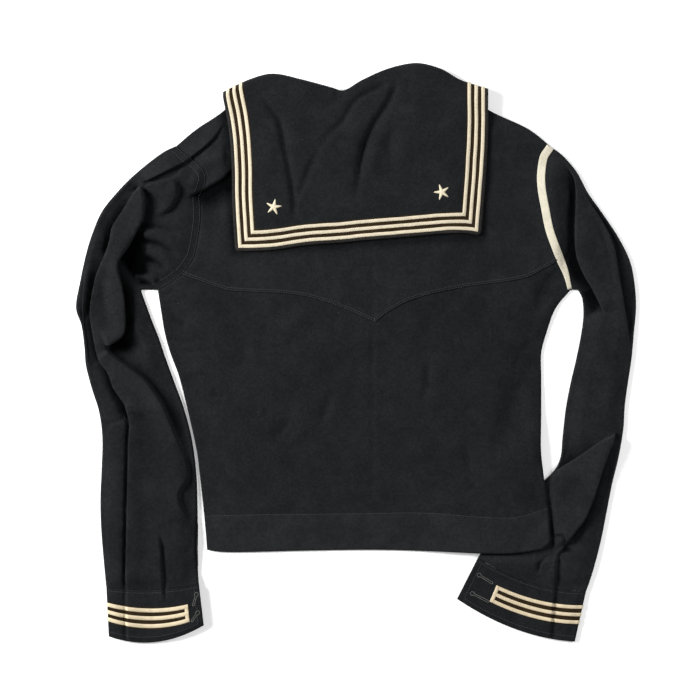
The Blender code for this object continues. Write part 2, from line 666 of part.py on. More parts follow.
def add_cuff_tape(side_name, cuff, depth):
    """Three tapes on a cuff, joined by an end bar: one comb-shaped wall."""
    half = CUFF_TAPE_WIDTH / 2
    offsets = [step * CUFF_TAPE_PITCH + edge for step in (-1, 0, 1) for edge in (-half, half)]
    length = math.dist(cuff.seam.open_end, cuff.seam.fold)
    start = CUFF_TAPE_START[side_name]
    runs = [start / length, (start + CUFF_TAPE_WIDTH) / length, cuff_share(1.37), cuff_share(1.63),
            *CUFF_TAPE_RUN]

    def keep(column, row):
        return column == 0 or row % 2 == 0

    def place_tape(inwards, offset, side):
        middle = np.interp(inwards, (0, 1), CUFF_TAPE_MIDDLE[side_name])
        x, y = cuff_plan(cuff, inwards, middle + offset / depth)
        base = cuff_lift(inwards) + 2 * CUFF_CLOTH + GAP + TAPE_GAP
        return x, y, base + side * TAPE_THICK

    add_wall("cuff_tape_" + side_name, CREAM, runs, offsets, place_tape, keep=keep)


def add_cuff_buttons(side_name, cuff):
    """Two flat buttons on the outer face of a cuff's lower end."""
    length = math.dist(cuff.seam.open_end, cuff.seam.fold)
    for number, down in enumerate(BUTTON_SHARES, start=1):
        x, y = cuff_plan(cuff, BUTTON_HEM / length, down)
        builder = bmesh.new()
        bmesh.ops.create_cone(builder, cap_ends=True, segments=20, radius1=BUTTON_ACROSS / 2,
                              radius2=BUTTON_ACROSS / 2, depth=BUTTON_THICK)
        bmesh.ops.translate(builder, vec=(x, y, BUTTON_THICK / 2), verts=builder.verts)
        finish_object(f"cuff_button_{side_name}_{number}", HORN, builder)


def add_collar():
    """Collar in one piece, with its three tapes and two stars."""

    def keep(column, row):
        near, far = sorted(abs(COLLAR_COLUMNS[index]) for index in (column, column + 1))
        in_front = near >= NECK_SHARE - 1e-6
        on_stand = far < NECK_SHARE - 1e-6 and COLLAR_ROWS[row] < 2.05
        return COLLAR_ROWS[row] < 2 - 1e-6 or in_front or on_stand

    def place_collar(across, along, side):
        return collar_surface(across, along, -CLOTH * (1 - side))

    add_wall("collar", WOOL, COLLAR_COLUMNS, COLLAR_ROWS, place_collar, keep=keep)
    for number, name in enumerate(("outer", "middle", "inner")):
        add_collar_tape(name, TAPE_FIRST + number * TAPE_PITCH)
    for name, (x, y, turn) in STARS.items():
        add_star(name, (x, y), math.radians(turn))


def on_collar(across, along, out):
    """Point at a distance out from the collar's flat facets, between its stops."""
    column = min(max(int((across + 1) * (len(COLLAR_COLUMNS) - 1) / 2), 0), len(COLLAR_COLUMNS) - 2)
    row = max(index for index, stop in enumerate(COLLAR_ROWS[:-1]) if stop <= max(along, 0) + 1e-9)
    left, right = COLLAR_COLUMNS[column:column + 2]
    low, high = COLLAR_ROWS[row:row + 2]
    aside = (across - left) / (right - left)
    ahead = (along - low) / (high - low)
    lower = (1 - aside) * collar_surface(left, low, out) + aside * collar_surface(right, low, out)
    upper = (1 - aside) * collar_surface(left, high, out) + aside * collar_surface(right, high, out)
    return (1 - ahead) * lower + ahead * upper


def collar_edge(inset, along):
    """Share across, from the middle, of the line at a distance in from the collar's edge."""
    top = abs(COLLAR_TOP[0][0])
    if along <= 2:
        lower = math.dist(COLLAR_LOWER_EDGE[0], COLLAR_LOWER_EDGE[-1]) / 2
        return 1 - inset / (top + (lower - top) * max(1 - along, 0))
    width = (1 - NECK_SHARE) * top
    width += (FRONT_END_OUTER - FRONT_END_INNER - width) * (along - 2)
    return 1 - (1 - NECK_SHARE) * inset / width


def add_collar_tape(name, inset):
    """Tape round the collar, a given distance in from its edge."""
    height = COLLAR_TOP[0][1] - COLLAR_LOWER_EDGE[0][1]
    rows = [row for row in COLLAR_ROWS if inset / height + 0.05 < row < 2.99] + [FRONT_TAPE_END]
    reach = collar_edge(inset, 0) - 0.03
    columns = [-1, *(column for column in COLLAR_COLUMNS if abs(column) < reach), 1]
    stops = [(-1, row) for row in reversed(rows)] + [(column, 0) for column in columns]
    stops += [(1, row) for row in rows]
    edges = (inset - TAPE_WIDTH / 2, inset + TAPE_WIDTH / 2)

    def place_tape(offset, stop, side):
        across, along = stop
        if along == 0:
            along = offset / height
            edge = collar_edge(offset, along)
            across = min(max(across, -edge), edge)
        else:
            across *= collar_edge(offset, along)
        return on_collar(across, along, TAPE_GAP + side * TAPE_THICK)

    add_wall("collar_tape_" + name, CREAM, edges, stops, place_tape)


def add_star(name, centre, turn):
    """Five-pointed star with slim arms, lying on the collar's fall."""
    builder = bmesh.new()
    bmesh.ops.create_circle(builder, cap_ends=True, segments=10, radius=1)
    raised = bmesh.ops.extrude_face_region(builder, geom=builder.faces[:])
    outer = [item for item in raised["geom"] if isinstance(item, bmesh.types.BMVert)]
    bmesh.ops.translate(builder, vec=(0, 0, 1), verts=outer)
    for vert in builder.verts:
        angle = math.atan2(vert.co.y, vert.co.x) - math.pi / 2
        arm = round(angle / (math.pi / 5)) % 2 == 0
        reach = STAR_REACH if arm else STAR_WAIST
        x = centre[0] + reach * math.cos(angle + turn)
        y = centre[1] + reach * math.sin(angle + turn)
        vert.co = (x, y, fall_height(x, y) + STAR_GAP + vert.co.z * TAPE_THICK)
    finish_object(name, CREAM, builder)


def fall_height(x, y):
    """Height of the outer face of the collar's fall at a plan point."""
    across, along = 0.0, 0.5
    for _ in range(SEARCH_STEPS):
        found = on_collar(across, along, 0)
        across += (x - found[0]) / abs(COLLAR_TOP[0][0])
        along += (y - found[1]) / (COLLAR_TOP[0][1] - COLLAR_LOWER_EDGE[0][1])
    return on_collar(across, along, 0)[2]


def add_shoulder_tape(sleeve, ring):
    """Tape round the back half of the right armhole, with its outer half on the sleeve."""
    half = SHOULDER_TAPE_WIDTH / 2

    def place_tape(offset, place, side):
        here = sleeve.armhole.at(place / 3)
        ahead = sleeve.armhole.at(place / 3 + NEAR) - sleeve.armhole.at(place / 3 - NEAR)
        sideways = np.array((ahead[1], -ahead[0])) / math.hypot(*ahead)
        full = SHOULDER_TAPE_TIP + (1 - SHOULDER_TAPE_TIP) * ease(*SHOULDER_TAPE_TAPER, place)
        x, y = here + sideways * offset * full
        base = back_underside(x, y) + CLOTH
        if offset > 0:
            first = sleeve.top(0, place)
            step = math.dist(sleeve.plan(ring, place), here)
            base = first + (sleeve.top(ring, place) - first) * min(offset / step, 1)
        return x, y, base + SHOULDER_TAPE_GAP + side * TAPE_THICK

    first, last = SHOULDER_TAPE_ENDS
    places = [first, *RING_TOP[1:-1], last]
    add_wall("shoulder_tape", IVORY, (-half, 0, half), places, place_tape)


def main():
    """Build the shirt in an empty scene."""
    for item in list(bpy.data.objects):
        bpy.data.objects.remove(item, do_unlink=True)
    add_body()
    rings = len(SLEEVE_LEFT)
    sleeves = {"left": Sleeve("left", SLEEVE_LEFT), "right": Sleeve("right", SLEEVE_RIGHT)}
    for side_name, sleeve in sleeves.items():
        add_sleeve(side_name, sleeve, rings)
    for side_name, cuff in CUFFS.items():
        add_cuff(side_name, cuff)
    add_collar()
    add_shoulder_tape(sleeves["right"], 1 / (rings - 1))


main()
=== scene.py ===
"""Looks of a middy shirt (sailor's wool jumper) laid flat on its front, with its back up.

Every plan size is in millimetres: X runs across the shoulders, Y from the hem to the neck and Z up from
the floor. The meshes are in metres. The outer layer of cloth is one height field over the plan, so that a
crease can run across a seam, and each cut piece takes its own part of that field.
"""

import logging
import math
from dataclasses import dataclass
from enum import Enum
from functools import cache
from typing import Any, Callable, NamedTuple, Sequence

import bmesh
import bpy
import numpy as np
from mathutils import Matrix, Vector, noise


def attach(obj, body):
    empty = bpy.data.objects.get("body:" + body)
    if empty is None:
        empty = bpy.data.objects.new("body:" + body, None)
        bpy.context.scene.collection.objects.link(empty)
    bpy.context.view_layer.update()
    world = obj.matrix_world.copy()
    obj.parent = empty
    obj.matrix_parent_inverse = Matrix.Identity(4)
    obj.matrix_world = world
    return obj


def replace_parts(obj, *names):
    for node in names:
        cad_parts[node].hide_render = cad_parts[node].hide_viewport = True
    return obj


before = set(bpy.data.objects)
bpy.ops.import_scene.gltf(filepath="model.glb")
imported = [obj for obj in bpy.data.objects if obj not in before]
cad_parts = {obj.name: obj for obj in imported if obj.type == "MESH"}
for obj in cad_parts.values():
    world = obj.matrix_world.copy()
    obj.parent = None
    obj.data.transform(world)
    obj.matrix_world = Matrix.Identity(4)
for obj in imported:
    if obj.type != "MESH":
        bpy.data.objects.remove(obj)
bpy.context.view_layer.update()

MM = 0.001
WHITE = (1.0, 1.0, 1.0, 1.0)
Pair = tuple[float, float]
Colour = tuple[float, float, float, float]
Array = np.ndarray
Line = Sequence[Pair] | Array
Rule = Callable[[Array], Array]
Piece = bpy.types.Object
Material = bpy.types.Material
Socket = bpy.types.NodeSocket
Tree = bpy.types.NodeTree

log = logging.getLogger("middy_shirt")


class Side(Enum):
    """The two sides as they lie, seen from above."""

    LEFT = "left"
    RIGHT = "right"


class Over(Enum):
    """Which side of a line of travel lies on top."""

    LEFT = 1.0
    RIGHT = -1.0


# Plan curves and distances


def ease(low: float, high: float, value: Any) -> Array:
    """Smooth step from 0 at low to 1 at high, for a number or an array."""
    share = np.clip((np.asarray(value, dtype=float) - low) / (high - low), 0, 1)
    return share * share * (3 - 2 * share)


def rounded(distance: Array, radius: float) -> Array:
    """Quarter round that rises from 0 at an edge to 1 at the radius, by the distance in from the edge."""
    return np.sqrt(1 - (1 - np.clip(distance / radius, 0, 1)) ** 2)


def run_lengths(points: Array) -> Array:
    """Distance of each point from the first, measured along the line through them."""
    return np.concatenate([[0], np.cumsum(np.linalg.norm(np.diff(points, axis=0), axis=1))])


def unit(directions: Array) -> Array:
    """Directions scaled to a length of 1, one a row."""
    return directions / np.linalg.norm(directions, axis=1)[:, None]


def smooth_curve(points: Line, places: Array) -> Array:
    """Points on a smooth curve through control points.

    Args:
        points: Control points.
        places: Places from 0 to 1, counted in control points.

    Returns:
        One row for each place.
    """
    table = np.asarray(points, dtype=float).reshape(len(points), -1)
    position = np.clip(places, 0, 1) * (len(table) - 1)
    index = np.minimum(position.astype(int), len(table) - 2)
    share = (position - index)[..., None]
    before = table[np.maximum(index - 1, 0)]
    first = table[index]
    second = table[index + 1]
    after = table[np.minimum(index + 2, len(table) - 1)]
    linear = (second - before) * share
    square = (2 * before - 5 * first + 4 * second - after) * share ** 2
    cube = (3 * first - before - 3 * second + after) * share ** 3
    return first + 0.5 * (linear + square + cube)


class PlanPath:
    """A plan curve of smooth runs that meet at corners, with a share of its length at each corner."""

    SAMPLES = 16

    def __init__(self, *runs: Line, corners: Sequence[float] = ()) -> None:
        """Sample the runs.

        Args:
            runs: Control points of each run.
            corners: Shares of the path at which one run meets the next.
        """
        self.stops = (0.0, *corners, 1.0)
        self.runs = []
        for run in runs:
            samples = smooth_curve(run, np.linspace(0, 1, self.SAMPLES * (len(run) - 1) + 1))
            self.runs.append((samples, run_lengths(samples)))

    @property
    def length(self) -> float:
        """Length of the whole path."""
        return float(sum(lengths[-1] for _, lengths in self.runs))

    def at(self, shares: Any) -> Array:
        """Plan points along the path.

        Args:
            shares: Shares of the way along, from 0 to 1.

        Returns:
            One row for each share.
        """
        shares = np.asarray(shares, dtype=float)
        found = np.zeros((*shares.shape, 2))
        for (samples, lengths), low, high in zip(self.runs, self.stops, self.stops[1:]):
            inside = (shares >= low - 1e-9) & (shares <= high + 1e-9)
            distance = (shares[inside] - low) / (high - low) * lengths[-1]
            for axis in (0, 1):
                found[inside, axis] = np.interp(distance, lengths, samples[:, axis])
        return found

    def steps(self, pitch: float) -> tuple[Array, Array]:
        """Even steps along the path.

        Args:
            pitch: Length of a step.

        Returns:
            The middle of each step, and the direction of travel there.
        """
        samples = np.concatenate([samples for samples, _ in self.runs])
        lengths = run_lengths(samples)
        count = max(int(lengths[-1] / pitch), 2)
        stops = (np.arange(count) + 0.5) / count * lengths[-1]
        before, here, after = (
            np.stack([np.interp(stops + move, lengths, axis) for axis in samples.T], axis=1)
            for move in (-pitch / 2, 0, pitch / 2))
        return here, unit(after - before)


class Trace:
    """A smooth line in plan that other places are measured from."""

    STEP = 4.0

    def __init__(self, line: Line | PlanPath) -> None:
        """Mark the line at even steps.

        Args:
            line: Control points, or a path.
        """
        self.path = line if isinstance(line, PlanPath) else PlanPath(line)
        count = max(int(self.path.length / self.STEP), 2)
        self.marks = self.path.at(np.linspace(0, 1, count + 1))

    def measure(self, spots: Array) -> tuple[Array, Array, Array]:
        """Distance of spots from the line.

        Args:
            spots: Plan points.

        Returns:
            Distances, positive to the left of the line of travel, shares of the way along it, and the
            way from the line to each spot.
        """
        signed = np.full(len(spots), 1e9)
        share = np.zeros(len(spots))
        away = np.zeros((len(spots), 2))
        for index, (start, end) in enumerate(zip(self.marks, self.marks[1:])):
            run = end - start
            offset = spots - start
            along = np.clip(offset @ run / (run @ run), 0, 1)
            gap = offset - along[:, None] * run
            distance = np.hypot(gap[:, 0], gap[:, 1])
            closer = distance < np.abs(signed)
            side = run[0] * offset[:, 1] - run[1] * offset[:, 0]
            signed = np.where(closer, np.copysign(distance, side), signed)
            share = np.where(closer, (index + along) / (len(self.marks) - 1), share)
            away = np.where(closer[:, None], gap, away)
        return signed, share, away

    def distance(self, spots: Array) -> Array:
        """Plain distance of spots from the line."""
        return np.abs(self.measure(spots)[0])


@dataclass(frozen=True)
class Patch:
    """A flat cut piece between four plan curves, two from left to right and two upwards."""

    lower: PlanPath
    upper: PlanPath
    left: PlanPath
    right: PlanPath

    def grid(self, across: Array, up: Array) -> Array:
        """Plan points of the piece, blended from all four edges.

        Args:
            across: Shares of the way across, one a column.
            up: Shares of the way up, one a row.

        Returns:
            Plan points by row and column.
        """
        column = across[None, :, None]
        row = up[:, None, None]
        rows = (1 - row) * self.lower.at(across)[None] + row * self.upper.at(across)[None]
        columns = (1 - column) * self.left.at(up)[:, None] + column * self.right.at(up)[:, None]
        low = (1 - column) * self.lower.at(0) + column * self.lower.at(1)
        high = (1 - column) * self.upper.at(0) + column * self.upper.at(1)
        return rows + columns - ((1 - row) * low + row * high)


def end_dense(count: int, crowding: float = 0.55) -> Array:
    """Stops from 0 to 1, closer together near both ends: crowding is 0 for even steps and below 1."""
    even = np.linspace(0, 1, count + 1)
    return even - crowding * np.sin(2 * math.pi * even) / (2 * math.pi)


def on_spots(rule: Rule, plan: Array) -> Array:
    """Heights or places over a grid of plan points, by a rule that gives them for a list of spots."""
    found = rule(plan.reshape(-1, 2))
    return found.reshape(*plan.shape[:-1], *found.shape[1:])


def raised(places: Array, rise: Array) -> Array:
    """Places moved up by a rise."""
    return places + np.stack([np.zeros(len(rise)), np.zeros(len(rise)), rise], axis=1)


# Creases


@dataclass(frozen=True)
class Crease:
    """A shape that follows a line on the cloth.

    taper gives the share of the line over which it grows at its start and dies at its end.
    """

    line: tuple[Pair, ...]
    height: float
    taper: Pair = (0.25, 0.25)

    def spread(self) -> float:
        """Distance from the line past which nothing changes."""
        raise NotImplementedError

    def profile(self, signed: Array) -> Array:
        """Height at each signed distance from the line."""
        raise NotImplementedError

    def overhang(self, signed: Array) -> Array:
        """Distance that the cloth is drawn back over the line at each signed distance from it."""
        return np.zeros(len(signed))

    def shape(self, spots: Array) -> Array:
        """How far the crease moves each spot in X, Y and Z.

        Args:
            spots: Plan points.

        Returns:
            The move of each spot.
        """
        trace = Trace(self.line)
        reach = self.spread()
        low = trace.marks.min(axis=0) - reach
        high = trace.marks.max(axis=0) + reach
        near = np.all((spots > low) & (spots < high), axis=1)
        moved = np.zeros((len(spots), 3))
        if near.any():
            signed, share, away = trace.measure(spots[near])
            ends = np.ones(len(share))
            for taper, way in zip(self.taper, (share, 1 - share)):
                if taper:
                    ends = ends * ease(0, taper, way)
            back = self.overhang(signed) / np.maximum(np.abs(signed), 1e-6)
            moved[near, :2] = -away * (back * ends)[:, None]
            moved[near, 2] = self.profile(signed) * ends
        return moved


@dataclass(frozen=True)
class Fold(Crease):
    """A soft ridge, or a trough where the height is negative."""

    width: float = 8.0

    def spread(self) -> float:
        """Distance from the line past which nothing changes."""
        return 2.6 * self.width

    def profile(self, signed: Array) -> Array:
        """Height at each signed distance from the line."""
        return self.height * np.exp(-(signed / self.width) ** 2)


@dataclass(frozen=True)
class Lap(Crease):
    """The edge of cloth that lies over its neighbour, which sinks towards the foot of that edge.

    over is the side that lies on top, reach how far its rise spreads, groove how deep the other side
    sinks, bank how far that sinking spreads, lip the width of the steep edge between the two, and hang how
    far the edge is drawn over the groove, as a share of its height.
    """

    over: Over = Over.LEFT
    reach: float = 14.0
    groove: float = 2.0
    bank: float = 6.0
    lip: float = 2.0
    hang: float = 0.55

    def spread(self) -> float:
        """Distance from the line past which nothing changes."""
        return 2.8 * max(self.reach, self.bank) + self.lip

    def profile(self, signed: Array) -> Array:
        """Height at each signed distance from the line.

        Args:
            signed: Signed distances from the line.

        Returns:
            The heights.
        """
        side = signed * self.over.value
        high = self.height * np.exp(-(np.maximum(side - self.lip, 0) / self.reach) ** 2)
        low = -self.groove * np.exp(-(np.maximum(-side, 0) / self.bank) ** 1.35)
        return low + (high - low) * ease(0, self.lip, side)

    def overhang(self, signed: Array) -> Array:
        """Distance that the cloth is drawn back over the line at each signed distance from it.

        Args:
            signed: Signed distances from the line.

        Returns:
            The distances.
        """
        side = signed * self.over.value
        drawn = self.hang * self.height
        fading = np.exp(-(np.maximum(side - self.lip, 0) / (2.2 * drawn + 1)) ** 2)
        return drawn * ease(0, self.lip, side) * fading


@dataclass(frozen=True)
class Hollow:
    """An oval dip, or a bump where the height is positive. turn is in degrees."""

    centre: Pair
    radii: Pair
    turn: float
    height: float

    def shape(self, spots: Array) -> Array:
        """How far the hollow moves each spot in X, Y and Z.

        Args:
            spots: Plan points.

        Returns:
            The move of each spot.
        """
        angle = math.radians(self.turn)
        x, y = (spots - self.centre).T
        along = (x * math.cos(angle) + y * math.sin(angle)) / self.radii[0]
        aside = (y * math.cos(angle) - x * math.sin(angle)) / self.radii[1]
        return raised(np.zeros((len(x), 3)), self.height * np.exp(-(along ** 2 + aside ** 2)))


@dataclass(frozen=True)
class Relief:
    """Everything that stands out of, or sinks into, a layer of cloth."""

    creases: tuple[Crease | Hollow, ...]
    rumple: float = 0.35
    rumple_size: float = 34.0
    seed: float = 0.0
    # The next four fields paint shade into the colour at the bottom of folds and a painted highlight on
    # raised ridges.
    shade: float = 0.9
    shade_depths: Pair = (1.2, 8.5)
    wear_and_lightening: float = 0.2
    painted_highlight_heights: Pair = (1.5, 6.0)

    def shape(self, spots: Array) -> Array:
        """How far the creases and the slight unevenness of worn cloth move each spot in X, Y and Z.

        Args:
            spots: Plan points.

        Returns:
            The move of each spot.
        """
        total = sum(crease.shape(spots) for crease in self.creases)
        sizes = ((self.rumple_size, 1.0), (self.rumple_size / 2.7, 0.45))
        for size, share in sizes:
            rough = [noise.noise((x / size, y / size, self.seed)) for x, y in spots.tolist()]
            total[:, 2] += self.rumple * share * np.array(rough)
        return total

    def rise(self, spots: Array) -> Array:
        """Height that the relief adds at each spot."""
        return self.shape(spots)[:, 2]

    def painted_shade(self, spots: Array) -> Array:
        """Painted shade: share by which the colour darkens at the bottom of a fold, and below 0 a painted
        highlight on a raised ridge.
        """
        rise = self.rise(spots)
        return self.shade * ease(*self.shade_depths, -rise) - self.wear_and_lightening * ease(*self.painted_highlight_heights, rise)


GARMENT_CREASES = (
    # left shoulder
    Lap(((-160, 292), (-174, 273), (-190, 258), (-203, 248), (-213, 240), (-226, 233), (-242, 225),
        (-268, 212)), 4.6, (0.34, 0.08), over=Over.RIGHT, reach=14, groove=3.8, bank=4.0),
    Lap(((-266, 209), (-250, 214), (-231, 219), (-222, 226), (-215, 236)), 4.6, (0.1, 0.25), over=Over.RIGHT,
        reach=15, groove=1.6, bank=4, lip=2.4, hang=0.4),
    Lap(((-253, 169), (-240, 173), (-228, 183), (-221, 197), (-221, 209), (-226, 218)), 2.6, (0.3, 0.2),
        reach=17, groove=3.8, bank=12, lip=4.0, hang=0.3),
    Fold(((-203, 243), (-196, 228), (-203, 212), (-209, 200)), 4.0, (0.3, 0.3), width=9),
    Lap(((-148, 229), (-156, 224), (-166, 216), (-179, 208), (-190, 202), (-201, 197), (-212, 192)), 1.6,
        (0.0, 0.3), over=Over.RIGHT, reach=16, groove=11.0, bank=14, lip=4.0, hang=0.4),
    Hollow((-178, 188), (27, 18), 15, -3.2),
    Fold(((-146, 252), (-168, 247), (-196, 234)), 4.0, (0.0, 0.3), width=10),
    Fold(((-266, 158), (-248, 158), (-230, 152), (-214, 142)), -3.0, (0.0, 0.4), width=4),
    Fold(((-266, 149), (-247, 147), (-230, 139), (-216, 128)), 2.6, (0.05, 0.4), width=6),
    Fold(((-264, 141), (-246, 137), (-231, 128), (-220, 118)), -3.4, (0.0, 0.4), width=4),
    Fold(((-262, 130), (-246, 124), (-230, 112)), 2.4, (0.05, 0.4), width=6),
    Fold(((-260, 118), (-246, 112), (-234, 103)), -2.6, (0.0, 0.4), width=4),
    Hollow((-277, 107), (25, 10), 124, -9.0),
    Hollow((-274, 128), (32, 12), 112, -6.0),
    Hollow((-254, 124), (24, 24), 0, -3.4),
    Fold(((-277, 96), (-262, 95), (-247, 88)), 4.4, (0.1, 0.2), width=4.0),
    Fold(((-272, 89), (-262, 88), (-252, 86)), -2.2, (0.15, 0.2), width=3),
    # band down the left sleeve, between its two edges
    Lap(((-267, 208), (-264, 192), (-265, 169), (-272, 155), (-284, 132), (-295, 117), (-298, 108),
        (-295, 95), (-290, 74), (-288, 50), (-288, 30), (-292, 20), (-303, 12), (-313, 7)), 7.2, (0.03, 0.03),
        over=Over.RIGHT, reach=15, groove=5.0, bank=9, lip=3.4, hang=0.45),
    Fold(((-290, 100), (-284, 70), (-283, 40), (-288, 16)), -3.0, (0.3, 0.3), width=10),
    Lap(((-268, 212), (-278, 200), (-289, 181), (-304, 158), (-308, 139), (-314, 121), (-323, 100),
        (-329, 74), (-332, 49), (-329, 27), (-322, -6), (-310, -24), (-303, -43), (-287, -68), (-283, -90)),
        4.4, (0.03, 0.06), reach=15, groove=7.0, bank=11, lip=2.2),
    Lap(((-290, -62), (-283, -84), (-284, -111), (-285, -154), (-286, -200), (-287, -250), (-288, -300),
        (-287, -360)), 3.4, (0.1, 0.0), reach=15, groove=4.0, bank=4.0, lip=2.0),
    Fold(((-318, 164), (-331, 130), (-338, 90), (-341, 40)), 3.4, (0.2, 0.2), width=9),
    Fold(((-331, 6), (-322, -20), (-311, -60), (-307, -120), (-308, -200), (-308, -300)), 1.6, (0.2, 0.0),
         width=10),
    Fold(((-294, 150), (-306, 118), (-316, 80), (-313, 50)), -1.6, (0.3, 0.3), width=5),
    Fold(((-304, 100), (-306, 72), (-300, 40)), 1.4, (0.3, 0.3), width=6),
    Fold(((-303, 162), (-308, 141), (-314, 119)), -3.0, (0.3, 0.3), width=3.4),
    Lap(((-339, 112), (-341, 80), (-342, 52), (-341, 30)), 2.6, (0.2, 0.25), reach=7, groove=1.6, bank=6,
        lip=1.8),
    Hollow((-284, 10), (18, 12), 8, -5.0),
    Lap(((-313, 8), (-291, -9), (-267, -26), (-252, -43), (-241, -60), (-231, -81), (-220, -107),
        (-210, -128), (-205, -150)), 5.2, (0.04, 0.4), over=Over.RIGHT, reach=16, groove=4.4, bank=16,
        lip=6.0, hang=0.25),
    Lap(((-212, -120), (-206, -146), (-209, -162), (-217, -174), (-217, -186), (-209, -200), (-203, -214)),
        2.8, (0.3, 0.3), over=Over.RIGHT, reach=16, groove=2.6, bank=9, lip=6.0, hang=0.2),
    Lap(((-288, -76), (-265, -81), (-248, -95)), 1.8, (0.06, 0.3), reach=12, groove=1.4, bank=9, lip=7,
        hang=0.0),
    Fold(((-319, -88), (-303, -87), (-287, -80)), -1.6, (0.3, 0.1), width=3.2),
    Fold(((-262, -110), (-256, -170), (-262, -230)), 1.4, (0.3, 0.3), width=16),
    Lap(((-245, -224), (-243, -249), (-241, -274), (-240, -300)), 1.8, (0.2, 0.0), over=Over.RIGHT, reach=9,
        groove=3.0, bank=4.5, lip=1.8),
    # right sleeve
    Fold(((241, 244), (240, 222), (243, 190), (250, 150), (260, 112)), 4.4, (0.2, 0.2), width=12),
    Lap(((260, 236), (271, 220), (274, 205), (274, 181), (273, 151), (275, 121), (285, 96), (293, 83),
        (304, 61), (311, 45)), 5.4, (0.12, 0.1), reach=16, groove=7.0, bank=14, lip=2.6, hang=0.4),
    Hollow((271, 106), (24, 10), 108, -4.6),
    Fold(((282, 76), (290, 60), (296, 42)), -3.4, (0.1, 0.3), width=9),
    Lap(((284, 199), (304, 171), (319, 143), (325, 121), (329, 96), (334, 66), (340, 31), (343, 0)), 3.4,
        (0.15, 0.2), over=Over.RIGHT, reach=12, groove=4.2, bank=5, hang=0.4),
    Fold(((298, 172), (311, 140), (318, 108), (326, 66)), -1.4, (0.2, 0.3), width=3.4),
    Fold(((296, 60), (306, 10), (312, -50)), 1.8, (0.3, 0.3), width=14),
    Lap(((327, -97), (305, -110), (282, -126), (259, -140), (234, -154)), 4.6, (0.16, 0.1), over=Over.LEFT,
        reach=24, groove=5.4, bank=18, lip=3.0, hang=0.3),
    Lap(((326, -98), (314, -129), (305, -156), (298, -179), (287, -206), (273, -225), (260, -241),
        (254, -253)), 4.8, (0.05, 0.06), over=Over.RIGHT, reach=20, groove=5.0, bank=8, lip=2.4, hang=0.4),
    Hollow((248, -227), (8, 6), 0, -2.6),
    Lap(((238, -232), (256, -227), (261, -234), (250, -246), (237, -255), (229, -266), (229, -280)), 1.6,
        (0.2, 0.15), reach=7, groove=4.2, bank=3.4, lip=2.4, hang=0.3),
    Hollow((254, -250), (9, 4), 80, -2.4),
    Lap(((255, -246), (251, -262), (250, -289), (247, -316), (243, -360)), 1.7, (0.1, 0.0), over=Over.RIGHT,
        reach=10, groove=3.0, bank=7, hang=0.3),
    # body and yoke
    Fold(((-26, -44), (-36, -66), (-43, -92)), -2.0, width=6),
    Fold(((-81, -80), (-92, -96), (-107, -108)), -1.8, width=6),
    Fold(((-111, -66), (-112, -84)), -1.4, width=3.5),
    Fold(((90, -6), (89, -42), (79, -64)), -2.0, width=5),
    Fold(((138, -112), (143, -150), (147, -178)), -1.6, width=6),
    Fold(((-182, -48), (-162, -57)), -1.8, width=5),
    Fold(((-243, 60), (-232, 46), (-220, 38), (-206, 36)), -3.0, (0.1, 0.3), width=6),
    Fold(((-238, 22), (-214, 14), (-190, 16)), -2.2, (0.1, 0.4), width=4),
    Fold(((-230, -4), (-200, 2), (-172, 0)), -1.8, (0.1, 0.4), width=5),
    Fold(((-222, -30), (-200, -22), (-184, -30)), 1.4, (0.1, 0.4), width=6),
    Fold(((-206, -80), (-190, -92), (-176, -108)), -2.0, (0.1, 0.4), width=5),
    Fold(((232, 16), (203, -26), (186, -80), (171, -166)), -3.2, (0.15, 0.3), width=16),
    Fold(((216, -20), (221, -90), (216, -160)), 2.6, width=11),
    Fold(((258, 104), (238, 84), (226, 52)), -2.8, (0.05, 0.4), width=8),
    Fold(((250, 70), (232, 40), (222, 10)), 1.8, (0.1, 0.4), width=7),
    Fold(((-170, -40), (-120, -95), (-70, -150)), 1.5, width=18),
    Fold(((-172, 60), (-140, 20), (-150, -20)), -1.5, width=14),
    Fold(((-60, 50), (-84, 10), (-66, -30)), 1.5, width=14),
    Fold(((120, 60), (150, 30), (160, -10)), 1.4, width=13),
    Fold(((20, 128), (21, 60), (20, -60), (22, -200)), -0.9, (0.1, 0.2), width=2.2),
)

COLLAR_CREASES = (
    Fold(((52, 344), (45, 324), (35, 305), (22, 285), (12, 262), (6, 238), (3, 214), (0, 192), (-2, 172)),
         -5.2, (0.1, 0.4), width=4.6),
    Fold(((46, 300), (30, 270), (20, 240), (18, 205)), 2.8, (0.2, 0.3), width=9),
    Fold(((6, 290), (-6, 262), (-14, 226)), 1.6, (0.2, 0.3), width=10),
    Fold(((44, 338), (27, 332), (2, 318), (-10, 303), (-19, 287), (-35, 271), (-54, 247)), -4.4, (0.12, 0.5),
         width=4.2),
    Fold(((-14, 336), (-28, 316), (-48, 300)), -3.2, (0.1, 0.4), width=6),
    Fold(((-126, 336), (-108, 306), (-96, 290), (-90, 262), (-85, 238), (-79, 202), (-76, 160)), -3.8,
         (0.2, 0.15), width=4),
    Fold(((-76, 300), (-72, 250), (-66, 212)), 1.4, width=12),
    Fold(((-44, 258), (-58, 230), (-64, 212), (-76, 190)), -2.0, (0.3, 0.2), width=4),
    Fold(((40, 276), (45, 244), (48, 206)), -1.8, (0.3, 0.4), width=7),
    Fold(((62, 344), (68, 318), (66, 300)), -1.8, (0.2, 0.4), width=6),
    Fold(((78, 350), (76, 290), (66, 190)), 2.0, (0.1, 0.4), width=24),
    Fold(((-70, 336), (-60, 300)), 1.3, (0.1, 0.4), width=12),
    Fold(((110, 300), (118, 250), (112, 210)), 1.2, width=16),
)


# Plan of the garment, as it lies


class SleeveRow(NamedTuple):
    """Inner and outer edge of a sleeve at one ring."""

    inner: Pair
    outer: Pair


def sleeve_rows(*edges: tuple[Pair, Pair]) -> tuple[SleeveRow, ...]:
    """Rings of a sleeve, from the armhole to the cuff."""
    return tuple(SleeveRow(*pair) for pair in edges)


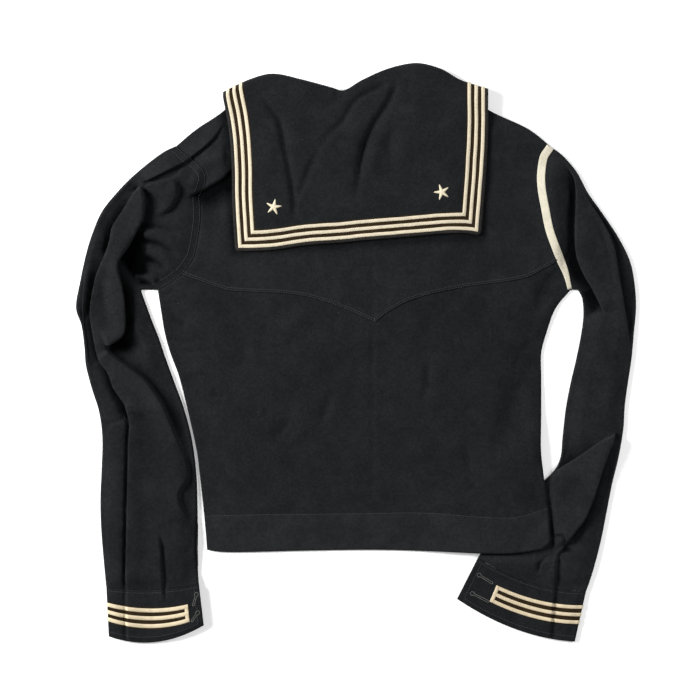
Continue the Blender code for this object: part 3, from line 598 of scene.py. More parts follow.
BODY_LEFT = (
    (-186, -246), (-190, -200), (-195.5, -150), (-199.5, -120), (-209.5, -75), (-221, -30), (-232, 0),
    (-239, 25), (-244, 55), (-247.5, 78),
)
BODY_RIGHT = (
    (242.5, -232), (240, -200), (234, -150), (231, -120), (231.5, -75), (231.5, -30), (231.5, 0), (238, 25),
    (249, 55), (267.5, 78),
)
HEM = (
    (-186, -246), (-157, -249), (-60, -247), (24, -246), (100, -248), (180, -251), (222, -247), (237, -241),
    (242.5, -232),
)
HEM_STITCHES = ((-190, -204), (-120, -202), (-7, -201), (84, -200), (157, -205), (200, -205), (240, -194))
ARMHOLES = {
    Side.LEFT: (((-247.5, 78), (-231, 88), (-217, 98)),
                ((-217, 98), (-206, 113), (-200, 127), (-194, 165), (-195, 195)),
                ((-195, 195), (-191, 204), (-187, 216), (-191, 230), (-207, 245)),
                ((-207, 245), (-216, 252), (-224, 259))),
    Side.RIGHT: (((267.5, 78), (262, 100), (255, 117)),
                 ((255, 117), (242, 152), (236, 181)),
                 ((236, 181), (232, 203), (231, 222), (234, 243), (239, 252)),
                 ((239, 252), (241, 255), (243, 258))),
}
ARMHOLE_CORNERS = (0.28 / 3, 1 / 3, 2 / 3)
YOKE_SEAM_LEFT = ((-217, 98), (-170, 81), (-150, 77), (-80, 73), (-30, 61), (24, 38))
YOKE_SEAM_RIGHT = ((24, 38), (42, 52), (75, 68), (130, 81), (205, 92), (235, 105), (255, 117))
COLLAR_TOP = (
    (-166, 326), (-135, 341), (-104, 349), (-69, 342), (-32, 332), (-15, 328), (8, 341), (40, 355),
    (75, 362.3), (106, 355), (131, 341), (165, 330),
)
COLLAR_LOWER = (
    (-151.5, 126.6), (-122, 127.3), (-97, 129.3), (-72, 133.2), (-47, 135.7), (-22, 137.2), (3, 139.8),
    (28, 141.9), (53, 144), (78, 146.1), (103, 148.4), (128, 149.4), (145, 148.2), (156, 145.5),
)
STAR_PLACES = {Side.LEFT: ((-102.5, 182), -11), Side.RIGHT: ((107, 200.5), 18)}
SHOULDER_LEFT = ((-224, 259), (-200, 279), (-166, 302))
SHOULDER_RIGHT = ((165, 304), (215, 280), (243, 258))

SLEEVE_ROWS = {
    Side.LEFT: sleeve_rows(
        ((-248, 79), (-224.3, 259)), ((-249.5, 79), (-239, 252)), ((-251.5, 79), (-256, 240)),
        ((-253.5, 79), (-281, 219)), ((-256, 79), (-301, 198)), ((-259, 79), (-318, 176)),
        ((-262, 79), (-330, 148)), ((-265, 79), (-338, 121)), ((-268, 77), (-345, 88)),
        ((-262, 60), (-350, 57)), ((-254, 38), (-343, 34)), ((-246, 18), (-339.5, 8)),
        ((-238, -6), (-337.5, -16)), ((-227, -36), (-330, -45)), ((-215, -69), (-321, -74)),
        ((-205, -108), (-317, -107)), ((-199.5, -150), (-318, -147)), ((-198, -198), (-320, -197)),
        ((-200, -245), (-317, -245)), ((-198, -288), (-313, -292))),
    Side.RIGHT: sleeve_rows(
        ((267.8, 79), (243.5, 259)), ((270, 79), (259, 246)), ((272, 79), (276, 226)),
        ((274, 79), (290, 200)), ((276, 79), (307, 176)), ((277.5, 78), (327, 146)),
        ((279, 76), (342, 116)), ((283, 66), (348, 88)), ((284, 46), (350, 58)), ((281, 22), (347.5, 27)),
        ((275, -8), (344.5, -6)), ((268, -38), (340, -36)), ((262, -70), (336, -66)),
        ((258, -105), (334, -96)), ((255, -132), (328, -131)), ((243, -152), (320, -164)),
        ((212, -179), (312, -205)), ((186, -216), (305, -241)), ((165, -236), (297, -273)),
        ((152.5, -254), (288, -297))),
}


# Finishes


class Graph:
    """Short way of adding and joining the nodes of a tree."""

    def __init__(self, tree: Tree) -> None:
        """Keep the tree."""
        self.tree = tree

    def add(self, kind: str, inputs: dict[str | int, Any] | None = None, **settings: Any) -> bpy.types.Node:
        """Add a node.

        Args:
            kind: Node type, without its ShaderNode prefix.
            inputs: Sockets by name or number, each with a value or with the socket that feeds it.
            settings: Node properties.

        Returns:
            The new node.
        """
        node = self.tree.nodes.new(kind if kind.startswith("NodeGroup") else "ShaderNode" + kind)
        for name, value in settings.items():
            setattr(node, name, value)
        self.feed(node, inputs or {})
        return node

    def feed(self, node: bpy.types.Node, inputs: dict[str | int, Any]) -> None:
        """Set or link the inputs of a node.

        Args:
            node: The node.
            inputs: Sockets by name or number, each with a value or with the socket that feeds it.
        """
        for name, value in inputs.items():
            if isinstance(value, Socket):
                self.tree.links.new(value, node.inputs[name])
            else:
                node.inputs[name].default_value = value

    def math(self, operation: str, first: Any, second: Any = 0.0) -> Socket:
        """Socket with the result of a math node."""
        return self.add("Math", {0: first, 1: second}, operation=operation).outputs[0]

    def span(self, value: Any, low: float, high: float, new_low: float, new_high: float) -> Any:
        """Socket with a value mapped from one span to another, smoothly."""
        inputs = {"Value": value, "From Min": low, "From Max": high, "To Min": new_low, "To Max": new_high}
        return self.add("MapRange", inputs, interpolation_type="SMOOTHSTEP").outputs["Result"]

    def mix(self, share: Any, first: Any, second: Any) -> Socket:
        """Socket with a blend of two colours."""
        return self.add("Mix", {0: share, 6: first, 7: second}, data_type="RGBA").outputs[2]

    def tint(self, colour: Any, shade: Any) -> Socket:
        """Socket with a colour scaled by a shade."""
        base = colour if isinstance(colour, Socket) else colour[:3]
        return self.add("VectorMath", {0: base, "Scale": shade}, operation="SCALE").outputs[0]

    def noise(self, place: Any, scale: Any, detail: float, roughness: float = 0.5, **more: float) -> Any:
        """Socket with noise from 0 to 1."""
        inputs = {"Vector": place, "Scale": scale, "Detail": detail, "Roughness": roughness, **more}
        return self.add("TexNoise", inputs).outputs["Fac"]

    def bump(self, height: Any, distance: float, strength: float) -> Socket:
        """Socket with a normal that a height bumps."""
        inputs = {"Height": height, "Distance": distance, "Strength": strength}
        return self.add("Bump", inputs).outputs["Normal"]


def shader_group(name: str, inputs: dict[str, float], outputs: Sequence[str]) -> tuple[Any, Graph, Any, Any]:
    """Empty node group that takes a vector and numbers, and gives numbers.

    Args:
        name: Name of the group.
        inputs: Number inputs, with their defaults.
        outputs: Number outputs.

    Returns:
        The group, its graph, its input node and its output node.
    """
    group = bpy.data.node_groups.new(name, "ShaderNodeTree")
    group.interface.new_socket("Vector", in_out="INPUT", socket_type="NodeSocketVector")
    for label, value in inputs.items():
        socket = group.interface.new_socket(label, in_out="INPUT", socket_type="NodeSocketFloat")
        socket.default_value = value
    for label in outputs:
        group.interface.new_socket(label, in_out="OUTPUT", socket_type="NodeSocketFloat")
    graph = Graph(group)
    return group, graph, graph.add("NodeGroupInput"), graph.add("NodeGroupOutput")


@cache
def nap_group() -> Tree:
    """Felted nap of wool cloth: mottled shade, fine height and specks of lint.

    Returns:
        The group.
    """
    group, graph, given, result = shader_group(
        "wool_nap", {"Fibre": 700.0, "Mottle": 34.0, "Lint": 90.0}, ("Shade", "Height", "Lint"))
    vector = given.outputs["Vector"]
    fibre = graph.noise(vector, given.outputs["Fibre"], 4.0, 0.7)
    clumps = graph.noise(vector, 260.0, 3.0, 0.6)
    mottle = graph.noise(vector, given.outputs["Mottle"], 5.0, 0.62, Distortion=0.4)
    cells = graph.add("TexVoronoi", {"Vector": vector, "Scale": given.outputs["Lint"]})
    chance = graph.add("SeparateColor", {"Color": cells.outputs["Color"]}).outputs["Red"]
    near = graph.span(cells.outputs["Distance"], 0.03, 0.075, 1, 0)
    lint = graph.math("MULTIPLY", near, graph.span(chance, 0.86, 0.98, 0, 1))
    shade = graph.math("MULTIPLY", *(graph.span(grain, 0.3, 0.7, 0.84, 1.16) for grain in (mottle, clumps)))
    shade = graph.math("MULTIPLY", shade, graph.span(fibre, 0.3, 0.7, 0.74, 1.26))
    height = graph.math("ADD", graph.math("MULTIPLY", fibre, 0.6), graph.math("MULTIPLY", clumps, 0.8))
    graph.feed(result, {"Shade": shade, "Height": height, "Lint": lint})
    return group


@cache
def braid_group() -> Tree:
    """Flat woven braid on UVs in millimetres: across in U, along in V.

    Returns:
        The group.
    """
    group, graph, given, result = shader_group(
        "braid_weave", {"Pitch": 0.9, "Slant": 0.35}, ("Shade", "Height"))
    parts = graph.add("SeparateXYZ", {"Vector": given.outputs["Vector"]})
    u, v = parts.outputs["X"], parts.outputs["Y"]
    slope = graph.math("MULTIPLY", graph.math("ABSOLUTE", u), given.outputs["Slant"])
    turn = graph.math("DIVIDE", graph.math("ADD", v, slope), given.outputs["Pitch"])
    rib = graph.math("ABSOLUTE", graph.math("SINE", graph.math("MULTIPLY", turn, math.pi)))
    warp = graph.math("ABSOLUTE", graph.math("SINE", graph.math("MULTIPLY", u, math.pi / 0.8)))
    height = graph.math("ADD", graph.math("MULTIPLY", rib, 0.7), graph.math("MULTIPLY", warp, 0.3))
    soil = graph.noise(given.outputs["Vector"], 0.09, 4.0, 0.6)
    shade = graph.math("MULTIPLY", graph.span(height, 0, 1, 0.86, 1.03),
                       graph.span(soil, 0.3, 0.7, 0.93, 1.04))
    graph.feed(result, {"Shade": shade, "Height": height})
    return group


def new_material(name: str, sheen: float, sheen_roughness: float) -> tuple[Material, Graph, Any]:
    """Material with a Principled shader whose sheen is set.

    Args:
        name: Name of the material.
        sheen: Sheen weight.
        sheen_roughness: Sheen roughness.

    Returns:
        The material, its graph and its shader node.
    """
    made = bpy.data.materials.new(name)
    made.use_nodes = True
    graph = Graph(made.node_tree)
    shader = made.node_tree.nodes["Principled BSDF"]
    graph.feed(shader, {"Metallic": 0.0, "Sheen Weight": sheen, "Sheen Roughness": sheen_roughness})
    return made, graph, shader


@dataclass(frozen=True)
class WoolFinish:
    """Navy-black wool cloth with a felted nap.

    ground is the brownish colour within a border, whose two distances from the piece's edge are where it
    ends, and rim the greyer colour within the rim_reach of that edge.
    """

    name: str
    colour: Colour = (0.0082, 0.0092, 0.0100, 1.0)
    ground: Colour = (0.0195, 0.0118, 0.0050, 1.0)
    lint: Colour = (0.045, 0.045, 0.042, 1.0)
    roughness: float = 0.93
    sheen: float = 0.025
    gloss: float = 0.05
    bump: float = 0.00025
    border: Pair | None = None
    rim: Colour = (0.0175, 0.0165, 0.0150, 1.0)
    rim_reach: Pair | None = None

    def make(self) -> Material:
        """Build the material.

        Returns:
            The material.
        """
        made, graph, shader = new_material(self.name, self.sheen, 0.55)
        place = graph.add("TexCoord").outputs["Object"]
        nap = graph.add("Group", node_tree=nap_group())
        graph.feed(nap, {"Vector": place})
        shade = nap.outputs["Shade"]
        colour = self.colour
        if self.border:
            edge = graph.add("Attribute", attribute_name="border").outputs["Fac"]
            inside = graph.span(edge, *self.border, 1, 0)
            colour = graph.mix(inside, self.colour, self.ground)
            if self.rim_reach:
                colour = graph.mix(graph.span(edge, *self.rim_reach, 1, 0), colour, self.rim)
        # Painted shade from the mesh darkens the colour, sheen and gloss in folds and beside the collar, and
        # below 0 makes them lighter.
        painted_shade = graph.add("Attribute", attribute_name="painted_shade").outputs["Fac"]
        open_share = graph.math("SUBTRACT", 1.0, painted_shade)
        colour = graph.tint(graph.tint(colour, open_share), shade)
        graph.feed(shader, {
            "Base Color": graph.mix(nap.outputs["Lint"], colour, self.lint),
            "Roughness": graph.span(shade, 0.7, 1.3, self.roughness + 0.04, self.roughness - 0.05),
            "Normal": graph.bump(nap.outputs["Height"], self.bump, 0.9),
            "Sheen Weight": graph.math("MULTIPLY", open_share, self.sheen),
            "Specular IOR Level": graph.math("MULTIPLY", open_share, self.gloss),
        })
        return made


@dataclass(frozen=True)
class BraidFinish:
    """Woven cotton braid or tape."""

    name: str
    colour: Colour
    roughness: float = 0.72
    pitch: float = 0.9
    slant: float = 0.35
    bump: float = 0.00022

    def make(self) -> Material:
        """Build the material.

        Returns:
            The material.
        """
        made, graph, shader = new_material(self.name, 0.1, 0.5)
        place = graph.add("UVMap", uv_map="weave").outputs["UV"]
        weave = graph.add("Group", node_tree=braid_group())
        graph.feed(weave, {"Vector": place, "Pitch": self.pitch, "Slant": self.slant})
        shade = weave.outputs["Shade"]
        graph.feed(shader, {
            "Base Color": graph.tint(self.colour, shade),
            "Roughness": graph.span(shade, 0.8, 1.05, self.roughness + 0.1, self.roughness),
            "Normal": graph.bump(weave.outputs["Height"], self.bump, 0.8),
        })
        return made


@dataclass(frozen=True)
class ThreadFinish:
    """Sewing or embroidery thread, with a fine twist."""

    name: str
    colour: Colour
    roughness: float = 0.6
    twist: float = 1400.0
    bump: float = 0.00012

    def make(self) -> Material:
        """Build the material.

        Returns:
            The material.
        """
        made, graph, shader = new_material(self.name, 0.08, 0.4)
        place = graph.add("TexCoord").outputs["Object"]
        grain = graph.noise(place, self.twist, 2.0)
        graph.feed(shader, {
            "Base Color": graph.tint(self.colour, graph.span(grain, 0.3, 0.7, 0.82, 1.1)),
            "Roughness": graph.span(grain, 0.3, 0.7, self.roughness, self.roughness + 0.15),
            "Normal": graph.bump(grain, self.bump, 0.7),
        })
        return made


@dataclass(frozen=True)
class ButtonFinish:
    """Black button, dulled by wear."""

    name: str = "button_black"
    colour: Colour = (0.012, 0.012, 0.013, 1.0)

    def make(self) -> Material:
        """Build the material.

        Returns:
            The material.
        """
        made, graph, shader = new_material(self.name, 0.0, 0.5)
        place = graph.add("TexCoord").outputs["Object"]
        wear_and_lightening = graph.noise(place, 420.0, 4.0)
        graph.feed(shader, {"Base Color": graph.tint(self.colour, graph.span(wear_and_lightening, 0.4, 0.75, 0.9, 1.6)),
                            "Roughness": graph.span(wear_and_lightening, 0.35, 0.75, 0.28, 0.5)})
        return made


class Finishes:
    """Every material of the shirt."""

    def __init__(self) -> None:
        """Build the materials."""
        self.wool = WoolFinish("wool_navy").make()
        self.wool_collar = WoolFinish("wool_navy_collar", border=(26.0, 28.0), rim_reach=(3.2, 4.4)).make()
        self.wool_cuff = WoolFinish("wool_navy_cuff", border=(12.2, 13.4)).make()
        self.cream = BraidFinish("braid_cream", (0.61, 0.535, 0.39, 1.0)).make()
        self.cream_cuff = BraidFinish("braid_cream_cuff", (0.60, 0.50, 0.335, 1.0)).make()
        self.ivory = BraidFinish("tape_ivory", (0.56, 0.52, 0.41, 1.0), pitch=0.7, slant=0.0).make()
        self.star = ThreadFinish("embroidery_cream", (0.64, 0.57, 0.41, 1.0)).make()
        self.thread = ThreadFinish("thread_navy", (0.020, 0.022, 0.024, 1.0)).make()
        self.buttonhole = ThreadFinish("buttonhole_thread", (0.135, 0.130, 0.120, 1.0)).make()
        self.button = ButtonFinish().make()


# Making of meshes


def dress(item: Piece, material: Material) -> Piece:
    """Give a piece its material, and let it ride on the shirt.

    Args:
        item: The piece.
        material: Its material.

    Returns:
        The piece.
    """
    item.data.materials.append(material)
    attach(item, "root")
    log.info("%s: %d faces", item.name, len(item.data.polygons))
    return item


def finish_mesh(name: str, builder: bmesh.types.BMesh) -> Piece:
    """Turn a bmesh in millimetres into a smooth object in metres.

    Args:
        name: Name of the piece.
        builder: Its bmesh, which is freed.

    Returns:
        The object.
    """
    bmesh.ops.scale(builder, vec=(MM, MM, MM), verts=builder.verts)
    mesh = bpy.data.meshes.new(name)
    builder.to_mesh(mesh)
    builder.free()
    mesh.shade_smooth()
    item = bpy.data.objects.new(name, mesh)
    bpy.context.scene.collection.objects.link(item)
    return item


def lay_cloth(
    name: str,
    points: Array,
    wall: float,
    *,
    keep: Array | None = None,
    border: Array | None = None,
    painted_shade: Array | None = None,
    weave: Array | None = None,
    joined: bool = False,
) -> Piece:
    """Cloth on a grid of places of its outer face.

    Args:
        name: Name of the piece.
        points: Places by row and column, with the outer face to the left of the rows' travel.
        wall: Thickness of the cloth.
        keep: Which grid points are cloth.
        border: Distance of each grid point from the piece's edge.
        painted_shade: Painted shade at each grid point: the share by which its colour darkens, lighter below
            0.
        weave: UV of each grid point.
        joined: Whether the last column meets the first.

    Returns:
        The piece.
    """
    rows, columns = points.shape[:2]
    builder = bmesh.new()
    bmesh.ops.create_grid(builder, x_segments=columns - 1, y_segments=rows - 1, size=1)
    for vert, place in zip(builder.verts, points.reshape(-1, 3)):
        vert.co = place
    for label, values in (("border", border), ("painted_shade", painted_shade)):
        if values is not None:
            layer = builder.verts.layers.float.new(label)
            for vert, value in zip(builder.verts, values.ravel()):
                vert[layer] = value
    if weave is not None:
        layer = builder.loops.layers.uv.new("weave")
        places = weave.reshape(-1, 2)
        for face in builder.faces:
            for loop in face.loops:
                loop[layer].uv = places[loop.vert.index]
    if keep is not None:
        cut = [vert for vert, stays in zip(builder.verts, keep.ravel()) if not stays]
        bmesh.ops.delete(builder, geom=cut, context="VERTS")
    if joined:
        bmesh.ops.remove_doubles(builder, verts=builder.verts, dist=1e-4)
    item = finish_mesh(name, builder)
    if wall:
        shell = item.modifiers.new("wall", "SOLIDIFY")
        shell.thickness = wall * MM
        shell.offset = -1.0
    return item


@dataclass(frozen=True)
class BraidSection:
    """Cross-section of a braid or tape, with a slightly crowned face.

    stops are the places of its lengthwise edges, from near the middle to the rim, as shares of half the
    width. drop is the share of the thickness that the crown loses on its way out, as a power of the
    distance, and rim the height at the very edge.
    """

    width: float
    thick: float
    stops: tuple[float, ...] = (0.5, 0.86, 0.97, 1)
    drop: float = 0.75
    power: int = 5
    rim: float = 0.0
    wall: float = 0.3

    def offsets(self) -> Array:
        """Distances of the lengthwise edges from the middle."""
        return np.array([-stop for stop in self.stops[::-1]] + [0, *self.stops]) * self.width / 2

    def crown(self) -> Array:
        """Height of each lengthwise edge over the underside."""
        height = self.thick * (1 - self.drop * np.abs(self.offsets() * 2 / self.width) ** self.power)
        return np.array([self.rim, *height[1:-1], self.rim])


def weave_places(offsets: Array, line: Array) -> Array:
    """UV places of a braid, from the distances across it and the points along its middle."""
    return np.stack(np.broadcast_arrays(offsets, run_lengths(line)[:, None]), axis=-1)


def lay_strip(
    name: str, line: Array, outwards: Array, sideways: Array, section: BraidSection
) -> Piece:
    """Braid along a line of places.

    Args:
        name: Name of the piece.
        line: Places along the middle of the underside.
        outwards: Direction of the outer face at each place.
        sideways: Direction across the strip at each place.
        section: Cross-section of the braid.

    Returns:
        The piece.
    """
    offsets = section.offsets()
    points = (line[:, None] + sideways[:, None] * offsets[None, :, None]
              + outwards[:, None] * section.crown()[None, :, None])
    return lay_cloth(name, points, section.wall, weave=weave_places(offsets, line))


def join_pieces(name: str, items: Sequence[Piece]) -> Piece:
    """Join pieces that have the same modifiers into the first, under a new name.

    Args:
        name: The new name.
        items: The pieces.

    Returns:
        The joined piece.
    """
    builder = bmesh.new()
    for item in items:
        builder.from_mesh(item.data)
    mesh = items[0].data
    builder.to_mesh(mesh)
    builder.free()
    for item in items[1:]:
        bpy.data.objects.remove(item)
    items[0].name = name
    mesh.name = name
    return items[0]


@dataclass(frozen=True)
class Stitch:
    """One stitch: a short slug of thread."""

    length: float = 2.6
    thick: float = 0.75
    pitch: float = 3.0
    proud: float = 0.1


def sew(
    name: str,
    rows: Sequence[tuple[PlanPath, float]],
    surface: Rule,
    stitch: Stitch,
    crosswise: bool = False,
) -> Piece:
    """Rows of stitches joined in one mesh.

    Args:
        name: Name of the piece.
        rows: Plan path of each row, and how far to its left the stitches lie.
        surface: Places on the cloth's outer face.
        stitch: Size of a stitch.
        crosswise: Whether the stitches lie across the row, as in a buttonhole.

    Returns:
        The piece.
    """
    builder = bmesh.new()
    for path, aside in rows:
        spots, ahead = path.steps(stitch.pitch)
        left = np.stack([-ahead[:, 1], ahead[:, 0]], axis=1)
        spots = spots + left * aside
        run = left if crosswise else ahead
        starts = surface(spots - run * stitch.length / 2)
        ends = surface(spots + run * stitch.length / 2)
        size = Matrix.Diagonal((stitch.length / 2, stitch.thick / 2, stitch.thick / 2, 1))
        for start, end in zip(starts, ends):
            turn = Vector(end - start).normalized().to_track_quat("X", "Z").to_matrix().to_4x4()
            place = Matrix.Translation((start + end) / 2 + (0, 0, stitch.proud))
            bmesh.ops.create_icosphere(builder, subdivisions=1, radius=1, matrix=place @ turn @ size)
    return finish_mesh(name, builder)


# The sub-assemblies


@dataclass
class Layers:
    """How the cloths of the shirt lie on each other, as heights over the plan.

    cloth and gap are the thickness of the wool and the air between two layers. loft is how far the back
    stands off the front, reached edge_reach in from the outline. front_lift is what lies under the front,
    and drift where, in from an edge, the creases begin to draw the cloth sideways. hem_step is how far the
    turned-up hem stands out, and yoke_step how far the yoke's turned edge does.
    """

    cloth: float = 1.6
    gap: float = 0.4
    loft: float = 3.6
    edge_reach: float = 45.0
    edge_radius: float = 3.2
    edge_middle: float = 1.9
    front_lift: float = 3.2
    front_lift_fade: Pair = (34.0, 95.0)
    front_end_y: float = 62.0
    front_end_outer: float = 38.0
    sleeve_under: float = 6.4
    sleeve_under_fade: Pair = (22.0, 95.0)
    sleeve_under_x: Pair = (60.0, 140.0)
    sleeve_under_y: Pair = (-130.0, -40.0)
    collar_fade: float = 8.0
    collar_press: float = 0.5
    # Painted shadow on the back beside the collar's edges, and how far it reaches.
    collar_shade: float = 0.5
    collar_shade_reach: float = 6.0
    drift: Pair = (1.0, 9.0)
    hem_fade: Pair = (-1.0, 1.6)
    hem_step: float = 0.5
    hem_drop: float = 1.3
    hem_radius: float = 1.8
    # How much lighter the colour is made on the turned-up hem.
    hem_lightening: float = 0.3
    yoke_step: float = 0.95
    yoke_step_reach: float = 8.0
    yoke_drop: float = 0.5
    yoke_radius: float = 1.2
    seam_dip: float = 0.9
    seam_dip_reach: float = 1.6
    # Most painted shade the colour may take.
    darkest: float = 0.9
    relief: Relief = Relief(GARMENT_CREASES, rumple=0.9, rumple_size=30.0)

    def __post_init__(self) -> None:
        """Trace the outline, and keep the paths that pieces share."""
        self.armholes = {side: PlanPath(*runs, corners=ARMHOLE_CORNERS) for side, runs in ARMHOLES.items()}
        self.outline = [Trace(line) for line in (BODY_LEFT, BODY_RIGHT, SHOULDER_LEFT, SHOULDER_RIGHT)]
        self.hem = Trace(HEM)
        self.yoke_seam = PlanPath(YOKE_SEAM_LEFT, YOKE_SEAM_RIGHT, corners=(0.5,))
        self.yoke_trace = Trace(self.yoke_seam)
        self.hem_stitches = Trace(HEM_STITCHES)
        self.seams = {side: Trace(armhole) for side, armhole in self.armholes.items()}

    def outline_distance(self, spots: Array) -> Array:
        """Distance in from the side seams and the shoulders."""
        return np.min([trace.distance(spots) for trace in self.outline], axis=0)

    def front_underside(self, spots: Array) -> Array:
        """Height of the front panel's underside, over the collar's fronts and the sleeve's end.

        Args:
            spots: Plan points.

        Returns:
            The heights.
        """
        x, y = spots.T
        share = (y - self.front_end_y) / (COLLAR_TOP[0][1] - self.front_end_y)
        outer = self.front_end_outer + share * (abs(COLLAR_TOP[0][0]) - self.front_end_outer)
        past = np.maximum(np.abs(x) - outer, self.front_end_y - y)
        over_fronts = self.front_lift * (1 - ease(*self.front_lift_fade, past))
        start = np.array(SLEEVE_ROWS[Side.RIGHT][-5].inner)
        edge = np.array(SLEEVE_ROWS[Side.RIGHT][-1].inner) - start
        side = spots - start
        beyond = (side[:, 0] * edge[1] - side[:, 1] * edge[0]) / math.hypot(*edge)
        over_sleeve = self.sleeve_under * (1 - ease(*self.sleeve_under_fade, beyond))
        below = 1 - ease(*self.sleeve_under_y, y)
        return over_fronts + over_sleeve * below * ease(*self.sleeve_under_x, x)

    def past_collar(self, spots: Array) -> Array:
        """Distance outside the edges of the collar's fall, 0 under it.

        Args:
            spots: Plan points.

        Returns:
            The distances.
        """
        x, y = spots.T
        (left_x, left_y), (right_x, right_y) = COLLAR_LOWER[0], COLLAR_LOWER[-1]
        left = np.interp(y, (left_y, COLLAR_TOP[0][1]), (left_x, COLLAR_TOP[0][0]))
        right = np.interp(y, (right_y, COLLAR_TOP[-1][1]), (right_x, COLLAR_TOP[-1][0]))
        lower = np.interp(x, (left_x, right_x), (left_y, right_y))
        return np.maximum(-np.minimum(np.minimum(x - left, right - x), y - lower), 0)

    def under_collar(self, spots: Array) -> Array:
        """1 where the collar's fall covers the back, fading to 0 past its edges."""
        return 1 - ease(0, self.collar_fade, self.past_collar(spots))

    def base(self, spots: Array) -> Array:
        """Height of the back's outer face, without its creases and its edges' round.

        Args:
            spots: Plan points.

        Returns:
            The heights.
        """
        inwards = np.minimum(self.outline_distance(spots), self.hem.distance(spots))
        loft = self.loft * ease(0, self.edge_reach, inwards)
        return self.front_underside(spots) + 2 * self.cloth + self.gap + loft

    def back(self, spots: Array) -> Array:
        """Places on the back's outer face, creased, and with its edges rounded down to the side seams.

        Args:
            spots: Plan points.

        Returns:
            The places.
        """
        moved = self.relief.shape(spots)
        covered = self.under_collar(spots)
        moved[:, 2] -= covered * np.maximum(moved[:, 2] - self.collar_press, 0)
        lowest = self.front_underside(spots) + self.edge_middle
        highest = np.maximum(self.base(spots) + moved[:, 2], lowest + self.cloth)
        edge = self.outline_distance(spots)
        height = lowest + (highest - lowest) * rounded(edge, self.edge_radius)
        hem = rounded(self.hem.distance(spots), self.hem_radius)
        plan = spots + moved[:, :2] * (ease(*self.drift, edge) * (1 - covered))[:, None]
        height = height + self.hem_step * self.on_hem(spots) - self.hem_drop * (1 - hem)
        return np.column_stack([plan, np.maximum(height, 1.5 * self.cloth)])

    def on_hem(self, spots: Array) -> Array:
        """1 on the turned-up hem, fading to 0 above its stitches."""
        return ease(*self.hem_fade, -self.hem_stitches.measure(spots)[0])

    def yoke(self, spots: Array) -> Array:
        """Places on the yoke, whose turned edge lies on the back panel.

        Args:
            spots: Plan points.

        Returns:
            The places.
        """
        above = np.abs(self.yoke_trace.measure(spots)[0])
        lip = self.yoke_step * np.exp(-(above / self.yoke_step_reach) ** 2)
        lip -= self.yoke_drop * (1 - rounded(above, self.yoke_radius))
        return raised(self.back(spots), lip + self.armhole_dip(spots))

    def armhole_dip(self, spots: Array) -> Array:
        """Shallow groove in which the armhole seams lie."""
        near = np.min([seam.distance(spots) for seam in self.seams.values()], axis=0)
        return -self.seam_dip * np.exp(-(near / self.seam_dip_reach) ** 2)

    def painted_shade(self, spots: Array) -> Array:
        """Painted shade: share by which the colour darkens in folds and, as a painted shadow, beside the
        collar; on the hem the colour is made lighter.

        Args:
            spots: Plan points.

        Returns:
            The share for each spot.
        """
        shade = self.collar_shade * np.exp(-(self.past_collar(spots) / self.collar_shade_reach) ** 2)
        shade = np.minimum(self.relief.painted_shade(spots) + shade, self.darkest)
        return shade - self.hem_lightening * self.on_hem(spots)

    def front(self, spots: Array) -> Array:
        """Height of the front panel's outer face, which lies on the floor."""
        side = rounded(self.outline_distance(spots), self.edge_radius)
        return self.front_underside(spots) + self.edge_middle * (1 - side)


